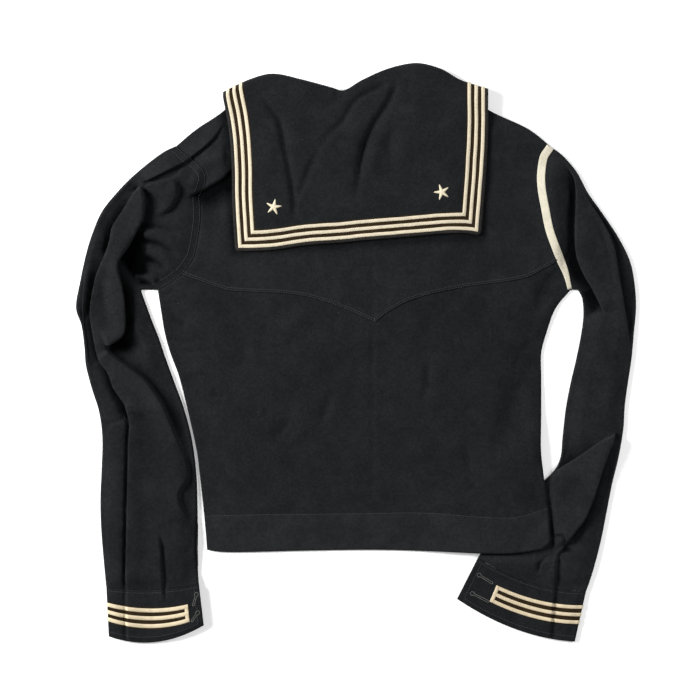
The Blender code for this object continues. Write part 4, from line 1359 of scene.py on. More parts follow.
@dataclass
class Body:
    """Front panel, back panel and yoke."""

    layers: Layers
    finishes: Finishes
    wall: float = 1.4
    step: float = 2.4
    front_step: float = 5.5
    neck_tuck: float = 8.6
    neck_share: float = 3 / 8
    under_yoke: float = 5.0
    yoke_sink: float = 1.7
    # How much lighter the yoke's colour is made than the back's.
    yoke_lightening: float = 0.07
    size: Pair = (500.0, 560.0)
    back_height: float = 330.0
    yoke_size: Pair = (480.0, 260.0)

    def neck_runs(self) -> tuple[list[Pair], list[Pair], list[Pair]]:
        """Neck edge from left to right: shoulder, back of the neck, shoulder.

        Returns:
            The three runs.
        """
        edge = [(x, y - self.neck_tuck) for x, y in COLLAR_TOP[1:-1]]
        collar = PlanPath(COLLAR_TOP)
        shares = np.array([(1 - self.neck_share) / 2, (1 + self.neck_share) / 2])
        left, right = (tuple(point - (0, self.neck_tuck)) for point in collar.at(shares))
        room = 5
        first = [*SHOULDER_LEFT, *(point for point in edge if point[0] < left[0] - room), left]
        middle = [left, *(point for point in edge if left[0] + room < point[0] < right[0] - room), right]
        last = [right, *(point for point in edge if point[0] > right[0] + room), *SHOULDER_RIGHT]
        return first, middle, last

    def build(self) -> None:
        self.build_front()
        self.build_back()
        self.build_yoke()

    def build_front(self) -> None:
        """Front panel, face down, with its V at the neck."""
        first, _, last = self.neck_runs()
        below_neck = (0, self.layers.front_end_y + 2)
        sides = [PlanPath(side, *ARMHOLES[name], corners=(0.55, 0.592, 0.7, 0.85))
                 for name, side in ((Side.LEFT, BODY_LEFT), (Side.RIGHT, BODY_RIGHT))]
        neck = PlanPath(first, [first[-1], below_neck], [below_neck, last[0]], last, corners=(0.3, 0.5, 0.7))
        panel = Patch(PlanPath(HEM), neck, *sides)
        across, up = (int(length / self.front_step) for length in self.size)
        plan = panel.grid(end_dense(across), end_dense(up, 0.3))
        height = on_spots(self.layers.front, plan)
        points = np.dstack([plan, height])[:, ::-1]
        item = lay_cloth("front_panel_cloth", points, self.wall)
        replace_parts(dress(item, self.finishes.wool), "front_panel")

    def build_back(self) -> None:
        """Back panel from the hem to just under the yoke's edge."""
        up = (0, self.under_yoke)
        left, right = (np.add(seam, up) for seam in (YOKE_SEAM_LEFT, YOKE_SEAM_RIGHT))
        left[0], right[-1] = YOKE_SEAM_LEFT[0], YOKE_SEAM_RIGHT[-1]
        arms = [ARMHOLES[side][0] for side in Side]
        upper = PlanPath(arms[0], left, right, arms[1][::-1], corners=(0.07, 0.5, 0.93))
        panel = Patch(PlanPath(HEM), upper, PlanPath(BODY_LEFT), PlanPath(BODY_RIGHT))
        across, up = int(self.size[0] / self.step), int(self.back_height / self.step)
        plan = panel.grid(end_dense(across, 0.45), end_dense(up, 0.3))
        # Painted shade in the back's folds, and painted shadow beside the collar.
        item = lay_cloth("back_panel_cloth", on_spots(self.back_place, plan), self.wall,
                         painted_shade=on_spots(self.layers.painted_shade, plan))
        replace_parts(dress(item, self.finishes.wool), "back_panel")

    def back_place(self, spots: Array) -> Array:
        """Places on the back panel, which sinks under the yoke and at the armhole seams."""
        covered = ease(-0.6, 1.4, self.layers.yoke_trace.measure(spots)[0])
        return raised(self.layers.back(spots), self.layers.armhole_dip(spots) - self.yoke_sink * covered)

    def build_yoke(self) -> None:
        """Yoke from its pointed seam to the neck and the shoulders."""
        sides = [PlanPath(*ARMHOLES[side][1:], corners=(0.265, 0.63)) for side in Side]
        panel = Patch(self.layers.yoke_seam, PlanPath(*self.neck_runs(), corners=(0.375, 0.625)), *sides)
        plan = panel.grid(*(end_dense(int(length / self.step), 0.3) for length in self.yoke_size))
        # Painted shade as on the back, with the whole yoke made a little lighter.
        item = lay_cloth("back_yoke_cloth", on_spots(self.layers.yoke, plan), self.wall,
                         painted_shade=on_spots(self.layers.painted_shade, plan) - self.yoke_lightening)
        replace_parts(dress(item, self.finishes.wool), "back_yoke")


@dataclass
class CuffPlan:
    """Plan of a cuff as it lies: its seam and its hem, each from the open end to the fold, with a sag."""

    seam: tuple[Pair, Pair]
    seam_sag: float
    hem: tuple[Pair, Pair]
    hem_sag: float

    def at(self, inwards: Array, down: Array) -> Array:
        """Plan points, with inwards 0 at the open end and 1 at the fold, and down 0 to 1.

        Args:
            inwards: Shares of the way from the open end to the fold.
            down: Shares of the way from the seam to the hem.

        Returns:
            A plan point for each.
        """
        inwards = np.asarray(inwards, dtype=float)[..., None]
        lines = []
        for (start, end), sag in ((self.seam, self.seam_sag), (self.hem, self.hem_sag)):
            bow = np.array((0.0, -4 * sag)) * inwards * (1 - inwards)
            lines.append(np.array(start) + np.subtract(end, start) * inwards + bow)
        return lines[0] + (lines[1] - lines[0]) * np.asarray(down, dtype=float)[..., None]

    def inwards(self, spots: Array) -> Array:
        """Share of the way from the open end to the fold, for spots near the cuff."""
        run = np.subtract(self.seam[1], self.seam[0])
        return np.clip((spots - self.seam[0]) @ run / (run @ run), 0, 1)

    @property
    def width(self) -> float:
        """Length of the seam from the open end to the fold."""
        return math.dist(*self.seam)

    @property
    def depth(self) -> float:
        """Depth of the cuff at its fold."""
        return math.dist(self.seam[1], self.hem[1])


BUTTONHOLES = {
    Side.LEFT: (((-199, -301), (-203, -315)), ((-197.5, -324), (-205, -335))),
    Side.RIGHT: (((153.5, -277), (170, -287)), ((145, -300), (165, -310))),
}
KEYHOLE = ((3.6, 1.1), (1.4, 2.3), (-1.2, 1.9))
KEYHOLE_TAIL = 1.1
KEYHOLE_EYE = 2.3
CUFF_LIFT = 3.0
CUFF_LIFT_ENDS = (0.166, 0.516)
CUFF_PLANS = {
    Side.LEFT: CuffPlan(((-196, -289), (-312, -293)), 5, ((-190, -340), (-309, -354)), 14),
    Side.RIGHT: CuffPlan(((152, -256), (287.5, -297.5)), 11, ((126, -307), (273.5, -360.5)), 11.5),
}


@dataclass
class Sleeve:
    """One sleeve: a flattened tube from its armhole to its cuff.

    head is the share of its length over which the armhole's curve straightens out, edge and puff the
    height of the upper layer at the outline and what it gains inwards, and under_body the most it has
    where the body lies on it. tuck and head_drop are how far its head end goes in and under the armhole.
    """

    side: Side
    layers: Layers
    finishes: Finishes
    head: float
    wall: float = 1.3
    step: float = 1.28
    width: float = 125.0
    under_steps: int = 22
    edge: float = 5.0
    puff: float = 5.0
    puff_reach: float = 24.0
    radius: float = 3.2
    middle: float = 2.1
    lowest: float = 3.5
    cuff_blend: float = 18.0
    cuff_height: float = 5.6
    cuff_creases: float = 0.6
    cuff_start: float = 0.86
    armhole_blend: float = 24.0
    crease_reach: float = 9.0
    shade_reach: float = 6.0
    under_body: float = 5.2
    body_edge: Pair = (2.0, 12.0)
    body_upper: Pair = (-150.0, -136.0)
    body_lower: Pair = (-262.0, -252.0)
    tuck: float = 1.6
    head_drop: float = 1.2
    # How much lighter the sleeve's colour is made all over.
    wear_and_lightening: float = 0.0

    def __post_init__(self) -> None:
        """Trace the edges of the sleeve."""
        rows = SLEEVE_ROWS[self.side]
        self.cuff = CUFF_PLANS[self.side]
        self.armhole = self.layers.armholes[self.side]
        self.inner = [self.armhole.at(0), *(row.inner for row in rows[1:])]
        self.outer = [self.armhole.at(1), *(row.outer for row in rows[1:])]
        seam = self.cuff.at(np.linspace(0, 1, 5), np.zeros(5))
        self.cuff_seam = PlanPath(seam)
        self.inner_trace = Trace([*self.inner[:-1], seam[0]])
        self.outer_trace = Trace([*self.outer[:-1], seam[-1]])
        self.cuff_trace = Trace(self.cuff_seam)

    def plan(self, across: Array, along: Array) -> Array:
        """Plan points by row and column, with across 0 at the inner edge and along 0 at the armhole.

        Args:
            across: Shares of the way from the inner edge to the outer.
            along: Shares of the way from the armhole to the cuff.

        Returns:
            The plan points.
        """
        column = across[None, :, None]
        row = along[:, None, None]
        inner = smooth_curve(self.inner, along)[:, None]
        outer = smooth_curve(self.outer, along)[:, None]
        ends = [self.cuff_seam.at(0), self.cuff_seam.at(1)]
        end = ease(self.cuff_start, 1, row)
        inner = inner + (ends[0] - inner) * end
        outer = outer + (ends[1] - outer) * end
        straight = inner + (outer - inner) * column
        armhole = self.armhole.at(across)
        bulge = armhole - (armhole[:1] + (armhole[-1:] - armhole[:1]) * across[:, None])
        seam = self.cuff_seam.at(across)
        sag = seam - (ends[0] + (ends[1] - ends[0]) * across[:, None])
        return straight + bulge[None] * (1 - ease(0, self.head, row)) + sag[None] * end

    def edge_distance(self, spots: Array) -> Array:
        """Distance in from the sleeve's outline."""
        return np.minimum(self.inner_trace.distance(spots), self.outer_trace.distance(spots))

    def past_cuff(self, spots: Array) -> Array:
        """0 at the cuff's seam, rising to 1 where the cuff no longer matters."""
        return ease(0, self.cuff_blend, self.cuff_trace.distance(spots))

    def top(self, spots: Array) -> Array:
        """Places on the upper layer's outer face.

        Args:
            spots: Plan points.

        Returns:
            The places.
        """
        edge = self.edge_distance(spots)
        own = self.edge + self.puff * ease(0, self.puff_reach, edge)
        tucked = self.past_cuff(spots)
        own = (cuff_lift(self.cuff.inwards(spots)) + self.cuff_height) * (1 - tucked) + own * tucked
        joined = ease(0, self.armhole_blend, self.layers.seams[self.side].distance(spots))
        base = self.layers.base(spots) * (1 - joined) + own * joined
        moved = self.layers.relief.shape(spots)
        kept = self.cuff_creases + (1 - self.cuff_creases) * tucked
        height = base + moved[:, 2] * ease(0, self.crease_reach, edge) * kept
        height = np.maximum(height, self.lowest) + self.layers.armhole_dip(spots)
        if self.side is Side.RIGHT:
            covered = self.covered(spots)
            height = height * (1 - covered) + np.minimum(height, self.under_body) * covered
        lower = self.lower(spots, edge)
        plan = spots + moved[:, :2] * (ease(*self.layers.drift, edge) * tucked)[:, None]
        return np.column_stack([plan, lower + (height - lower) * rounded(edge, self.radius)])

    def covered(self, spots: Array) -> Array:
        """1 where the body's lower corner lies on the sleeve.

        Args:
            spots: Plan points.

        Returns:
            The share for each spot.
        """
        x, y = spots.T
        heights = [point[1] for point in BODY_RIGHT]
        side = np.interp(y, heights, [point[0] for point in BODY_RIGHT])
        under = (1 - ease(*self.body_edge, x - side)) * (1 - ease(*self.body_upper, y))
        return under * ease(*self.body_lower, y)

    def lower(self, spots: Array, edge: Array) -> Array:
        """Height of the lower layer's outer face, raised by the buttons at the cuff."""
        lift = cuff_lift(self.cuff.inwards(spots)) * (1 - self.past_cuff(spots))
        return self.middle * (1 - rounded(edge, self.radius)) + lift

    def build(self) -> None:
        """Build the tube."""
        even = np.linspace(0, 1, 200)
        lengths = run_lengths(self.plan(np.array([0.5]), even)[:, 0])
        along = np.interp(np.linspace(0, lengths[-1], int(lengths[-1] / self.step)), lengths, even)
        upper = self.plan(end_dense(int(self.width / self.step), 0.55), along)
        under = self.plan(end_dense(self.under_steps, 0.75), along)
        top = on_spots(self.top, upper)
        low = on_spots(lambda spots: self.lower(spots, self.edge_distance(spots)), under)
        ring = np.concatenate([top, np.dstack([under, low])[:, ::-1]], axis=1)
        # Painted shade in the upper layer's folds, faded out near its edges, with the whole sleeve made
        # lighter by a set amount.
        shade = ease(0, self.shade_reach, on_spots(self.edge_distance, upper))
        shade = on_spots(self.layers.relief.painted_shade, upper) * shade
        shade = np.concatenate([shade, np.zeros(low.shape)], axis=1) - self.wear_and_lightening
        ring[0] += (self.tuck if self.side is Side.LEFT else -self.tuck, 0, 0)
        inside = ring[0, 1:upper.shape[1] - 1]
        inside[:, 2] = np.maximum(inside[:, 2] - self.head_drop, self.wall + 0.1)
        if self.side is Side.LEFT:
            ring, shade = ring[:, ::-1], shade[:, ::-1]
        ring, shade = (np.concatenate([part, part[:, :1]], axis=1)[::-1] for part in (ring, shade))
        name = f"sleeve_{self.side.value}"
        item = lay_cloth(name + "_cloth", ring, self.wall, painted_shade=shade, joined=True)
        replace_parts(dress(item, self.finishes.wool), name)


def cuff_lift(inwards: Array) -> Array:
    """Height that the buttons give a cuff near its open end."""
    return np.interp(inwards, CUFF_LIFT_ENDS, (CUFF_LIFT, 0.0))


@dataclass
class Cuff:
    """One cuff: a doubled band with three braids and its stitching.

    braid_start is where the braids' end bar lies, in from the open end, and braid_middles the share of the
    depth at which the middle braid lies, at the open end and at the fold.
    """

    side: Side
    layers: Layers
    finishes: Finishes
    braid_start: float
    braid_middles: Pair
    braid_pitch: float
    cloth: float = 2.2
    gap: float = 0.4
    loft: float = 1.8
    step: float = 1.7
    lower_reach: float = 2.2
    creases: float = 0.7
    highest_crease: float = 3.0
    edge_radius: float = 1.6
    # Share of the folds' painted shade that the cuff takes.
    shade: float = 0.8
    braid: BraidSection = BraidSection(4.5, 0.75, rim=0.05)
    stitch_inset: float = 6.5
    seam_inset: float = 3.4

    def __post_init__(self) -> None:
        """Take the cuff's plan."""
        self.plan = CUFF_PLANS[self.side]
        self.seam, self.hem = (Trace(self.plan.at(np.linspace(0, 1, 6), np.full(6, down))) for down in (0, 1))

    def top(self, spots: Array) -> Array:
        """Height of the upper layer's outer face.

        Args:
            spots: Plan points.

        Returns:
            The heights.
        """
        inwards = self.plan.inwards(spots)
        edge = np.minimum(self.hem.distance(spots) * 1.5, (1 - inwards) * self.plan.width)
        loft = self.loft * ease(0, 12, edge)
        full = cuff_lift(inwards) + 2 * self.cloth + self.gap
        rise = self.layers.relief.rise(spots) * self.creases * ease(0, 6, edge)
        rise = np.clip(rise, -loft - self.gap, self.highest_crease)
        hem = np.minimum(self.hem.distance(spots), self.seam.distance(spots) + 0.5)
        return full + loft + rise - (1 - rounded(hem, self.edge_radius))

    def face(self, spots: Array) -> Array:
        """Places on the upper layer's outer face."""
        return np.column_stack([spots, self.top(spots)])

    def braid_middle(self, lengths: Array) -> Array:
        """Share of the cuff's depth at the middle braid, from the open end to the fold."""
        return np.interp(lengths, (0, self.plan.width), self.braid_middles)

    def band(self, lengths: Array, down: Array) -> tuple[Array, Array]:
        """Outer face of the band, round its fold.

        Args:
            lengths: Distances from the open end, over the fold and back along the lower layer.
            down: Shares of the way from the seam to the hem, by row, or by row and column.

        Returns:
            Places, and outward directions, by row and column.
        """
        full = self.plan.width
        radius = self.cloth + self.gap / 2
        flat = full - radius
        turn = np.clip((lengths - flat) / radius, 0, math.pi)
        back = np.maximum(lengths - flat - math.pi * radius, 0)
        inwards = np.where(lengths < flat, lengths, flat + radius * np.sin(turn) - back) / full
        down = down if down.ndim == 2 else down[:, None]
        plan = self.plan.at(*np.broadcast_arrays(inwards, down))
        top = on_spots(self.top, plan)
        low = cuff_lift(np.broadcast_to(inwards, top.shape))
        share = (1 + np.cos(turn)) / 2
        height = low + (top - low) * share
        away = np.subtract(self.plan.seam[1], self.plan.seam[0]) / full
        outwards = np.zeros((*top.shape, 3))
        outwards[..., :2] = away * np.sin(turn)[None, :, None]
        outwards[..., 2] = np.cos(turn)
        return np.dstack([plan, height]), outwards

    def build(self) -> None:
        """Build the band and everything sewn on it."""
        name = f"cuff_{self.side.value}"
        full = self.plan.width
        reach = 2 * full + self.lower_reach
        lengths = np.unique(np.concatenate([
            np.arange(0, full - 4, self.step), np.arange(full - 4, full + 6, 0.6),
            np.arange(full + 6, reach, 4.0), [reach]]))
        down = end_dense(int(self.plan.depth / self.step), 0.5)
        points, _ = self.band(lengths, down)
        depth = down * self.plan.depth
        border = np.abs(depth[:, None] - self.braid_middle(lengths) * self.plan.depth)
        border = border + 40 * (1 - ease(self.braid_start - 1.5, self.braid_start - 0.5, lengths))[None]
        # Painted shade in the cuff's folds, faded out at its fold.
        painted_shade = self.shade * on_spots(self.layers.relief.painted_shade, points[..., :2])
        painted_shade = painted_shade * (1 - ease(full - 8, full - 3, lengths))
        if self.side is Side.RIGHT:
            points, border, painted_shade = points[::-1], border[::-1], painted_shade[::-1]
        item = lay_cloth(name + "_cloth", points, self.cloth - 0.3, border=border, painted_shade=painted_shade)
        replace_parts(dress(item, self.finishes.wool_cuff), name)
        braid = self.build_braid()
        stitches = self.build_stitches(name)

    def build_braid(self) -> Piece:
        """Three braids joined by an end bar.

        Returns:
            The braids, as one piece.
        """
        strips = []
        lengths = np.arange(self.braid_start, self.plan.width + 1.5, 1.0)
        for step in (-1, 0, 1):
            down = self.braid_middle(lengths) + step * self.braid_pitch / self.plan.depth
            points, outwards = self.band(lengths, np.stack([down, down + 0.01]))
            sideways = unit(points[1] - points[0])
            line = points[0] + outwards[0] * 0.12
            strips.append(lay_strip("braid", line, outwards[0], sideways, self.braid))
        ends = np.linspace(-1, 1, 24) * (self.braid_pitch + self.braid.width / 2) / self.plan.depth
        middle = np.array([self.braid_start + self.braid.width / 2])
        points, outwards = self.band(middle, self.braid_middle(middle) + ends)
        line = points[:, 0] + outwards[:, 0] * 0.2
        sideways = unit(np.cross(np.gradient(line, axis=0), outwards[:, 0]))
        strips.append(lay_strip("braid", line, outwards[:, 0], sideways, self.braid))
        item = join_pieces(f"cuff_braid_{self.side.value}", strips)
        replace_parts(dress(item, self.finishes.cream_cuff), f"cuff_tape_{self.side.value}")
        return item

    def build_stitches(self, name: str) -> Piece:
        """Stitching along the seam, the hem and the open end.

        Args:
            name: Name of the cuff.

        Returns:
            The stitches, as one piece.
        """
        plan = self.plan
        last = 1 - self.stitch_inset / plan.depth
        top = plan.at(np.linspace(0.02, 0.98, 9), np.full(9, self.seam_inset / plan.depth))
        hem = plan.at(np.linspace(0.05, 0.98, 9), np.full(9, last))
        end = plan.at(np.full(5, self.stitch_inset / plan.width), np.linspace(0.05, last, 5))
        rows = [(PlanPath(line), 0.0) for line in (top, hem, end)]
        item = sew(name + "_stitches", rows, self.face, Stitch())
        return dress(item, self.finishes.thread)


@dataclass
class Collar:
    """Sailor collar: fall, roll and fronts in one piece, with three braids and two stars.

    roll and neck_roll are the radius of the roll at the sides and at the neck, and roll_fall how far down
    the fall the roll lifts it. left_bow and right_bow are how far the side edges bow to the right, from the
    lower corner up. The stars have arms of star_reach, with flanks that would meet at star_point and that
    run in to star_waist between the arms.
    """

    layers: Layers
    finishes: Finishes
    cloth: float = 1.6
    wall: float = 1.7
    stand_off: float = 1.6
    loft: float = 3.0
    floor: float = 1.2
    roll: float = 6.6
    neck_roll: float = 3.0
    roll_fall: float = 70.0
    neck_share: float = 3 / 8
    stand: float = 8.0
    front_end_inner: float = 3.0
    left_bow: tuple[float, ...] = (0.9, 1.1, 1.9, 4.0, 5.0, 3.8, 0)
    right_bow: tuple[float, ...] = (0, 1.6, 2.4, 2.2, 0)
    left_corner: float = 5.0
    right_corner: float = 8.0
    bow_sides: Pair = (0.4, 0.85)
    straight: Pair = (0.1, 0.6)
    loft_fade: Pair = (6.0, 50.0)
    fold_fade: Pair = (2.0, 22.0)
    roll_calm: float = 0.55
    roll_folds: float = 0.45
    edge_drop: float = 0.7
    edge_radius: float = 1.7
    braid: BraidSection = BraidSection(4.25, 0.75, (0.45, 0.82, 0.96, 1))
    braid_lift: float = 0.12
    braid_first: float = 6.3
    braid_pitch: float = 8.5
    star_reach: float = 10.3
    star_point: float = 13.0
    star_waist: float = 3.5
    star_rim: float = 0.3
    star_crown: float = 1.0
    star_skirt: float = 0.8
    # How much lighter the fall's colour is made all over.
    wear_and_lightening: float = 0.05
    relief: Relief = Relief(COLLAR_CREASES, rumple=0.7, seed=7.0)

    def __post_init__(self) -> None:
        """Take the collar's top and lower edges."""
        self.wide = abs(COLLAR_TOP[0][0])
        self.front_end = self.layers.front_end_outer - self.front_end_inner
        self.path = PlanPath(COLLAR_TOP)
        self.lower = PlanPath(COLLAR_LOWER)
        self.lower_width = math.dist(COLLAR_LOWER[0], COLLAR_LOWER[-1]) / 2
        self.height = COLLAR_TOP[0][1] - COLLAR_LOWER[0][1]
        self.top = self.floor + 2 * self.roll

    def border(self, across: Array, along: Array) -> Array:
        """Distance in from the collar's edge.

        Args:
            across: Shares across.
            along: Shares along.

        Returns:
            The distances.
        """
        side = (1 - np.abs(across)) * self.half_width(along)
        front = (1 - np.abs(across)) / (1 - self.neck_share) * self.front_width(along)
        return np.where(along > 2, front, np.minimum(side, along * self.height))

    def across_at(self, inset: Array, along: Array) -> Array:
        """Share across, from the middle, of the line at a distance in from the side edge."""
        front = 1 - (1 - self.neck_share) * inset / self.front_width(along)
        return np.where(along > 2, front, 1 - inset / self.half_width(along))

    def half_width(self, along: Array) -> Array:
        """Half the width of the fall."""
        return self.wide + (self.lower_width - self.wide) * np.clip(1 - along, 0, 1)

    def front_width(self, along: Array) -> Array:
        """Width of one front, which narrows towards its end."""
        start = (1 - self.neck_share) * self.wide
        return start + (self.front_end - start) * np.clip(along - 2, 0, 1)

    def round_corners(self, across: Array, along: Array) -> tuple[Array, Array]:
        """Shares across and along, drawn in at the two lower corners.

        Args:
            across: Shares across.
            along: Shares along.

        Returns:
            The new shares across and along.
        """
        radius = np.where(across < 0, self.left_corner, self.right_corner)
        half = self.half_width(along)
        aside = np.clip(1 - (1 - np.abs(across)) * half / radius, 0, 1)
        below = np.clip(1 - along * self.height / radius, 0, 1)
        corner = (aside > 0) & (below > 0)
        drawn_aside = aside * np.sqrt(1 - below ** 2 / 2)
        drawn_below = below * np.sqrt(1 - aside ** 2 / 2)
        new_across = np.sign(across) * (1 - (1 - drawn_aside) * radius / half)
        new_along = (1 - drawn_below) * radius / self.height
        return np.where(corner, new_across, across), np.where(corner, new_along, along)

    def surface(self, across: Array, along: Array, out: Array | float = 0.0) -> Array:
        """Places on the collar's outer face.

        Args:
            across: From -1 at the left edge to 1 at the right edge.
            along: From 0 at the lower edge to 1 where the roll begins, 2 where it ends, and 3 at the end
                of the fronts.
            out: Distance outwards from the outer face.

        Returns:
            One place for each.
        """
        across, along, out = np.broadcast_arrays(across, np.asarray(along, dtype=float), out)
        inset = self.border(across, along)
        across, along = self.round_corners(across, along)
        start = self.path.at((across + 1) / 2) - (0, self.roll)
        at_neck = 1 - ease(self.neck_share - 1 / 8, self.neck_share, np.abs(across))
        radius = self.roll + (self.neck_roll - self.roll) * at_neck
        lower = self.lower.at((across + 1) / 2)
        up = np.clip(along, 0, 1)
        plan = lower + (start - lower) * up[..., None]
        even = lower[..., 1] + self.height * up
        plan[..., 1] = even + (plan[..., 1] - even) * ease(*self.straight, up)
        left, right = (smooth_curve(bow, up)[..., 0] for bow in (self.left_bow, self.right_bow))
        plan[..., 0] += np.where(across < 0, left, right) * ease(*self.bow_sides, np.abs(across))
        spots = plan.reshape(-1, 2)
        edge = inset.ravel()
        stand = self.stand_off + self.loft * ease(*self.loft_fade, edge)
        rest = self.layers.base(spots) + self.layers.gap + self.cloth + stand
        folds = np.maximum(self.relief.rise(spots), -stand - 1.5) * ease(*self.fold_fade, edge)
        lifted = ease(0, 1, 1 - np.linalg.norm((start - plan).reshape(-1, 2), axis=1) / self.roll_fall)
        fall = rest + (self.top - rest) * lifted + folds * (1 - self.roll_calm * lifted)
        fall = fall.reshape(across.shape) - self.edge_drop * (1 - rounded(inset, self.edge_radius)) + out

        turn = np.clip(along - 1, 0, 1) * math.pi
        reach = (radius + out) * np.sin(turn) * self.roll / radius
        at_start = self.relief.rise(start.reshape(-1, 2)).reshape(across.shape) * self.roll_folds
        inset = self.border(across, np.ones_like(along))
        lift = np.maximum(at_start, -self.stand_off) * ease(*self.fold_fade, inset)
        roll = self.top - radius + (radius + out) * np.cos(turn) + lift * (1 + np.cos(turn)) / 2

        beyond = np.clip(along - 2, 0, 1)[..., None]
        inwards = (np.abs(across) - self.neck_share) / (1 - self.neck_share)
        end_x = self.front_end_inner + inwards * self.front_end
        end = np.stack([np.sign(across) * end_x, np.full(across.shape, self.layers.front_end_y)], axis=-1)
        stand = start - np.array((0, self.stand)) * np.minimum(beyond * 8, 1)
        at_neck = (np.abs(across) < self.neck_share - 1e-6)[..., None]
        fronts = np.where(at_neck, stand, start + (end - start) * beyond)
        below = self.top - 2 * radius - out

        parts = [along <= 1, along <= 2]
        x = np.select(parts, [plan[..., 0], start[..., 0]], fronts[..., 0])
        y = np.select(parts, [plan[..., 1], start[..., 1] + reach], fronts[..., 1])
        return np.stack([x, y, np.select(parts, [fall, roll], below)], axis=-1)

    def build(self) -> None:
        """Build the collar and what is sewn on it."""
        neck = [-self.neck_share, self.neck_share]
        across = np.unique(np.concatenate([-1 + end_dense(150, 0.4) * 2, neck]))
        along = np.concatenate([end_dense(96, 0.3), np.linspace(1, 2, 17)[1:], np.linspace(2, 3, 34)[1:]])
        grid = np.meshgrid(across, along)
        points = self.surface(*grid)
        keep = (grid[1] <= 2.06) | (np.abs(grid[0]) >= self.neck_share - 1e-6)
        # Painted shade in the fall's folds, faded out near its edges, with the whole fall made a little
        # lighter.
        on_fall = (grid[1] <= 1) * ease(2, 12, self.border(*grid))
        painted_shade = (on_spots(self.relief.painted_shade, points[..., :2]) - self.wear_and_lightening) * on_fall
        item = lay_cloth("collar_cloth", points, self.wall, keep=keep, border=self.border(*grid),
                         painted_shade=painted_shade)
        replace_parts(dress(item, self.finishes.wool_collar), "collar")
        sewn = [self.build_braid(name, self.braid_first + number * self.braid_pitch)
                for number, name in enumerate(("outer", "middle", "inner"))]
        sewn += [self.build_star(side, *place) for side, place in STAR_PLACES.items()]

    def build_braid(self, name: str, inset: float) -> Piece:
        """One braid round the collar, a given distance in from its edge.

        Args:
            name: Which braid it is.
            inset: Distance of its middle from the edge.

        Returns:
            The braid.
        """
        corner = inset / self.height
        side = np.concatenate([np.linspace(corner + 0.012, 1, 110), np.linspace(1, 2, 15)[1:],
                               np.linspace(2, 2.995, 90)[1:]])
        reach = float(self.across_at(np.array(inset), np.array(corner)))
        bottom = np.linspace(-reach, reach, 170)
        wobble = np.array([noise.noise((stop * 9.0, inset, 3.0)) for stop in bottom]) * 0.35

        offsets = self.braid.offsets()
        rows = []
        for offset, rise in zip(offsets, self.braid.crown()):
            line = inset + offset
            sway = np.array([noise.noise((stop * 7.0, inset, 11.0)) for stop in side]) * 0.3
            edge = self.across_at(line + sway, side)
            left = np.stack([-edge[::-1], side[::-1]], axis=1)
            right = np.stack([edge, side], axis=1)
            low = (line + wobble) / self.height
            limit = float(self.across_at(np.array(line), np.array(line / self.height)))
            lower = np.stack([bottom * limit / reach, low], axis=1)
            track = np.concatenate([left, lower, right])
            rows.append(self.surface(track[:, 0], track[:, 1], self.braid_lift + rise))
        points = np.stack(rows, axis=1)
        weave = weave_places(offsets, points[:, len(offsets) // 2])
        item = lay_cloth(f"collar_braid_{name}", points[:, ::-1], self.braid.wall, weave=weave[:, ::-1])
        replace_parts(dress(item, self.finishes.cream), f"collar_tape_{name}")
        return item

    def fall_height(self, spots: Array) -> Array:
        """Height of the fall's outer face at spots of the plan.

        Args:
            spots: Plan points.

        Returns:
            The heights.
        """
        across = np.zeros(len(spots))
        along = np.full(len(spots), 0.5)
        for _ in range(10):
            found = self.surface(across, along)
            across = across + (spots[:, 0] - found[:, 0]) / self.wide
            along = along + (spots[:, 1] - found[:, 1]) / self.height
        return self.surface(across, along)[:, 2]

    def star_edge(self, angle: float) -> float:
        """Distance of a star's edge from its middle.

        Args:
            angle: Angle from an arm.

        Returns:
            The distance, on a slender arm that is rounded at its end.
        """
        off_arm = abs(math.remainder(angle, math.tau / 5))
        tip, waist, half = self.star_point, self.star_waist, math.tau / 10
        flank = tip * waist * math.sin(half) / (tip * math.sin(off_arm) + waist * math.sin(half - off_arm))
        return (flank ** -9 + self.star_reach ** -9) ** (-1 / 9)

    def build_star(self, side: Side, centre: Pair, turn: float) -> Piece:
        """Embroidered star with slender, padded arms, turned by some degrees.

        Args:
            side: Side of the collar.
            centre: Plan point of its middle.
            turn: Turn in degrees.

        Returns:
            The star.
        """
        builder = bmesh.new()
        bmesh.ops.create_circle(builder, cap_ends=True, cap_tris=True, segments=60, radius=1)
        bmesh.ops.subdivide_edges(builder, edges=builder.edges, cuts=3, use_grid_fill=True)
        for vert in builder.verts:
            angle = math.atan2(vert.co.y, vert.co.x)
            share = min(vert.co.length, 1.0)
            reach = share * self.star_edge(angle)
            heading = angle + math.radians(turn + 18)
            crown = self.star_rim + self.star_crown * (1 - share ** 3)
            vert.co = (reach * math.cos(heading), reach * math.sin(heading), crown)
        rim = [edge for edge in builder.edges if edge.is_boundary]
        skirt = bmesh.ops.extrude_edge_only(builder, edges=rim)["geom"]
        skirt = [item for item in skirt if isinstance(item, bmesh.types.BMVert)]
        bmesh.ops.translate(builder, vec=(0, 0, -self.star_skirt), verts=skirt)
        bmesh.ops.recalc_face_normals(builder, faces=builder.faces)
        places = np.array([vert.co for vert in builder.verts])
        heights = self.fall_height(places[:, :2] + centre)
        for vert, height in zip(builder.verts, heights):
            vert.co = (vert.co.x + centre[0], vert.co.y + centre[1], vert.co.z + height)
        item = finish_mesh(f"star_{side.value}_embroidery", builder)
        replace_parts(dress(item, self.finishes.star), f"star_{side.value}")
        return item


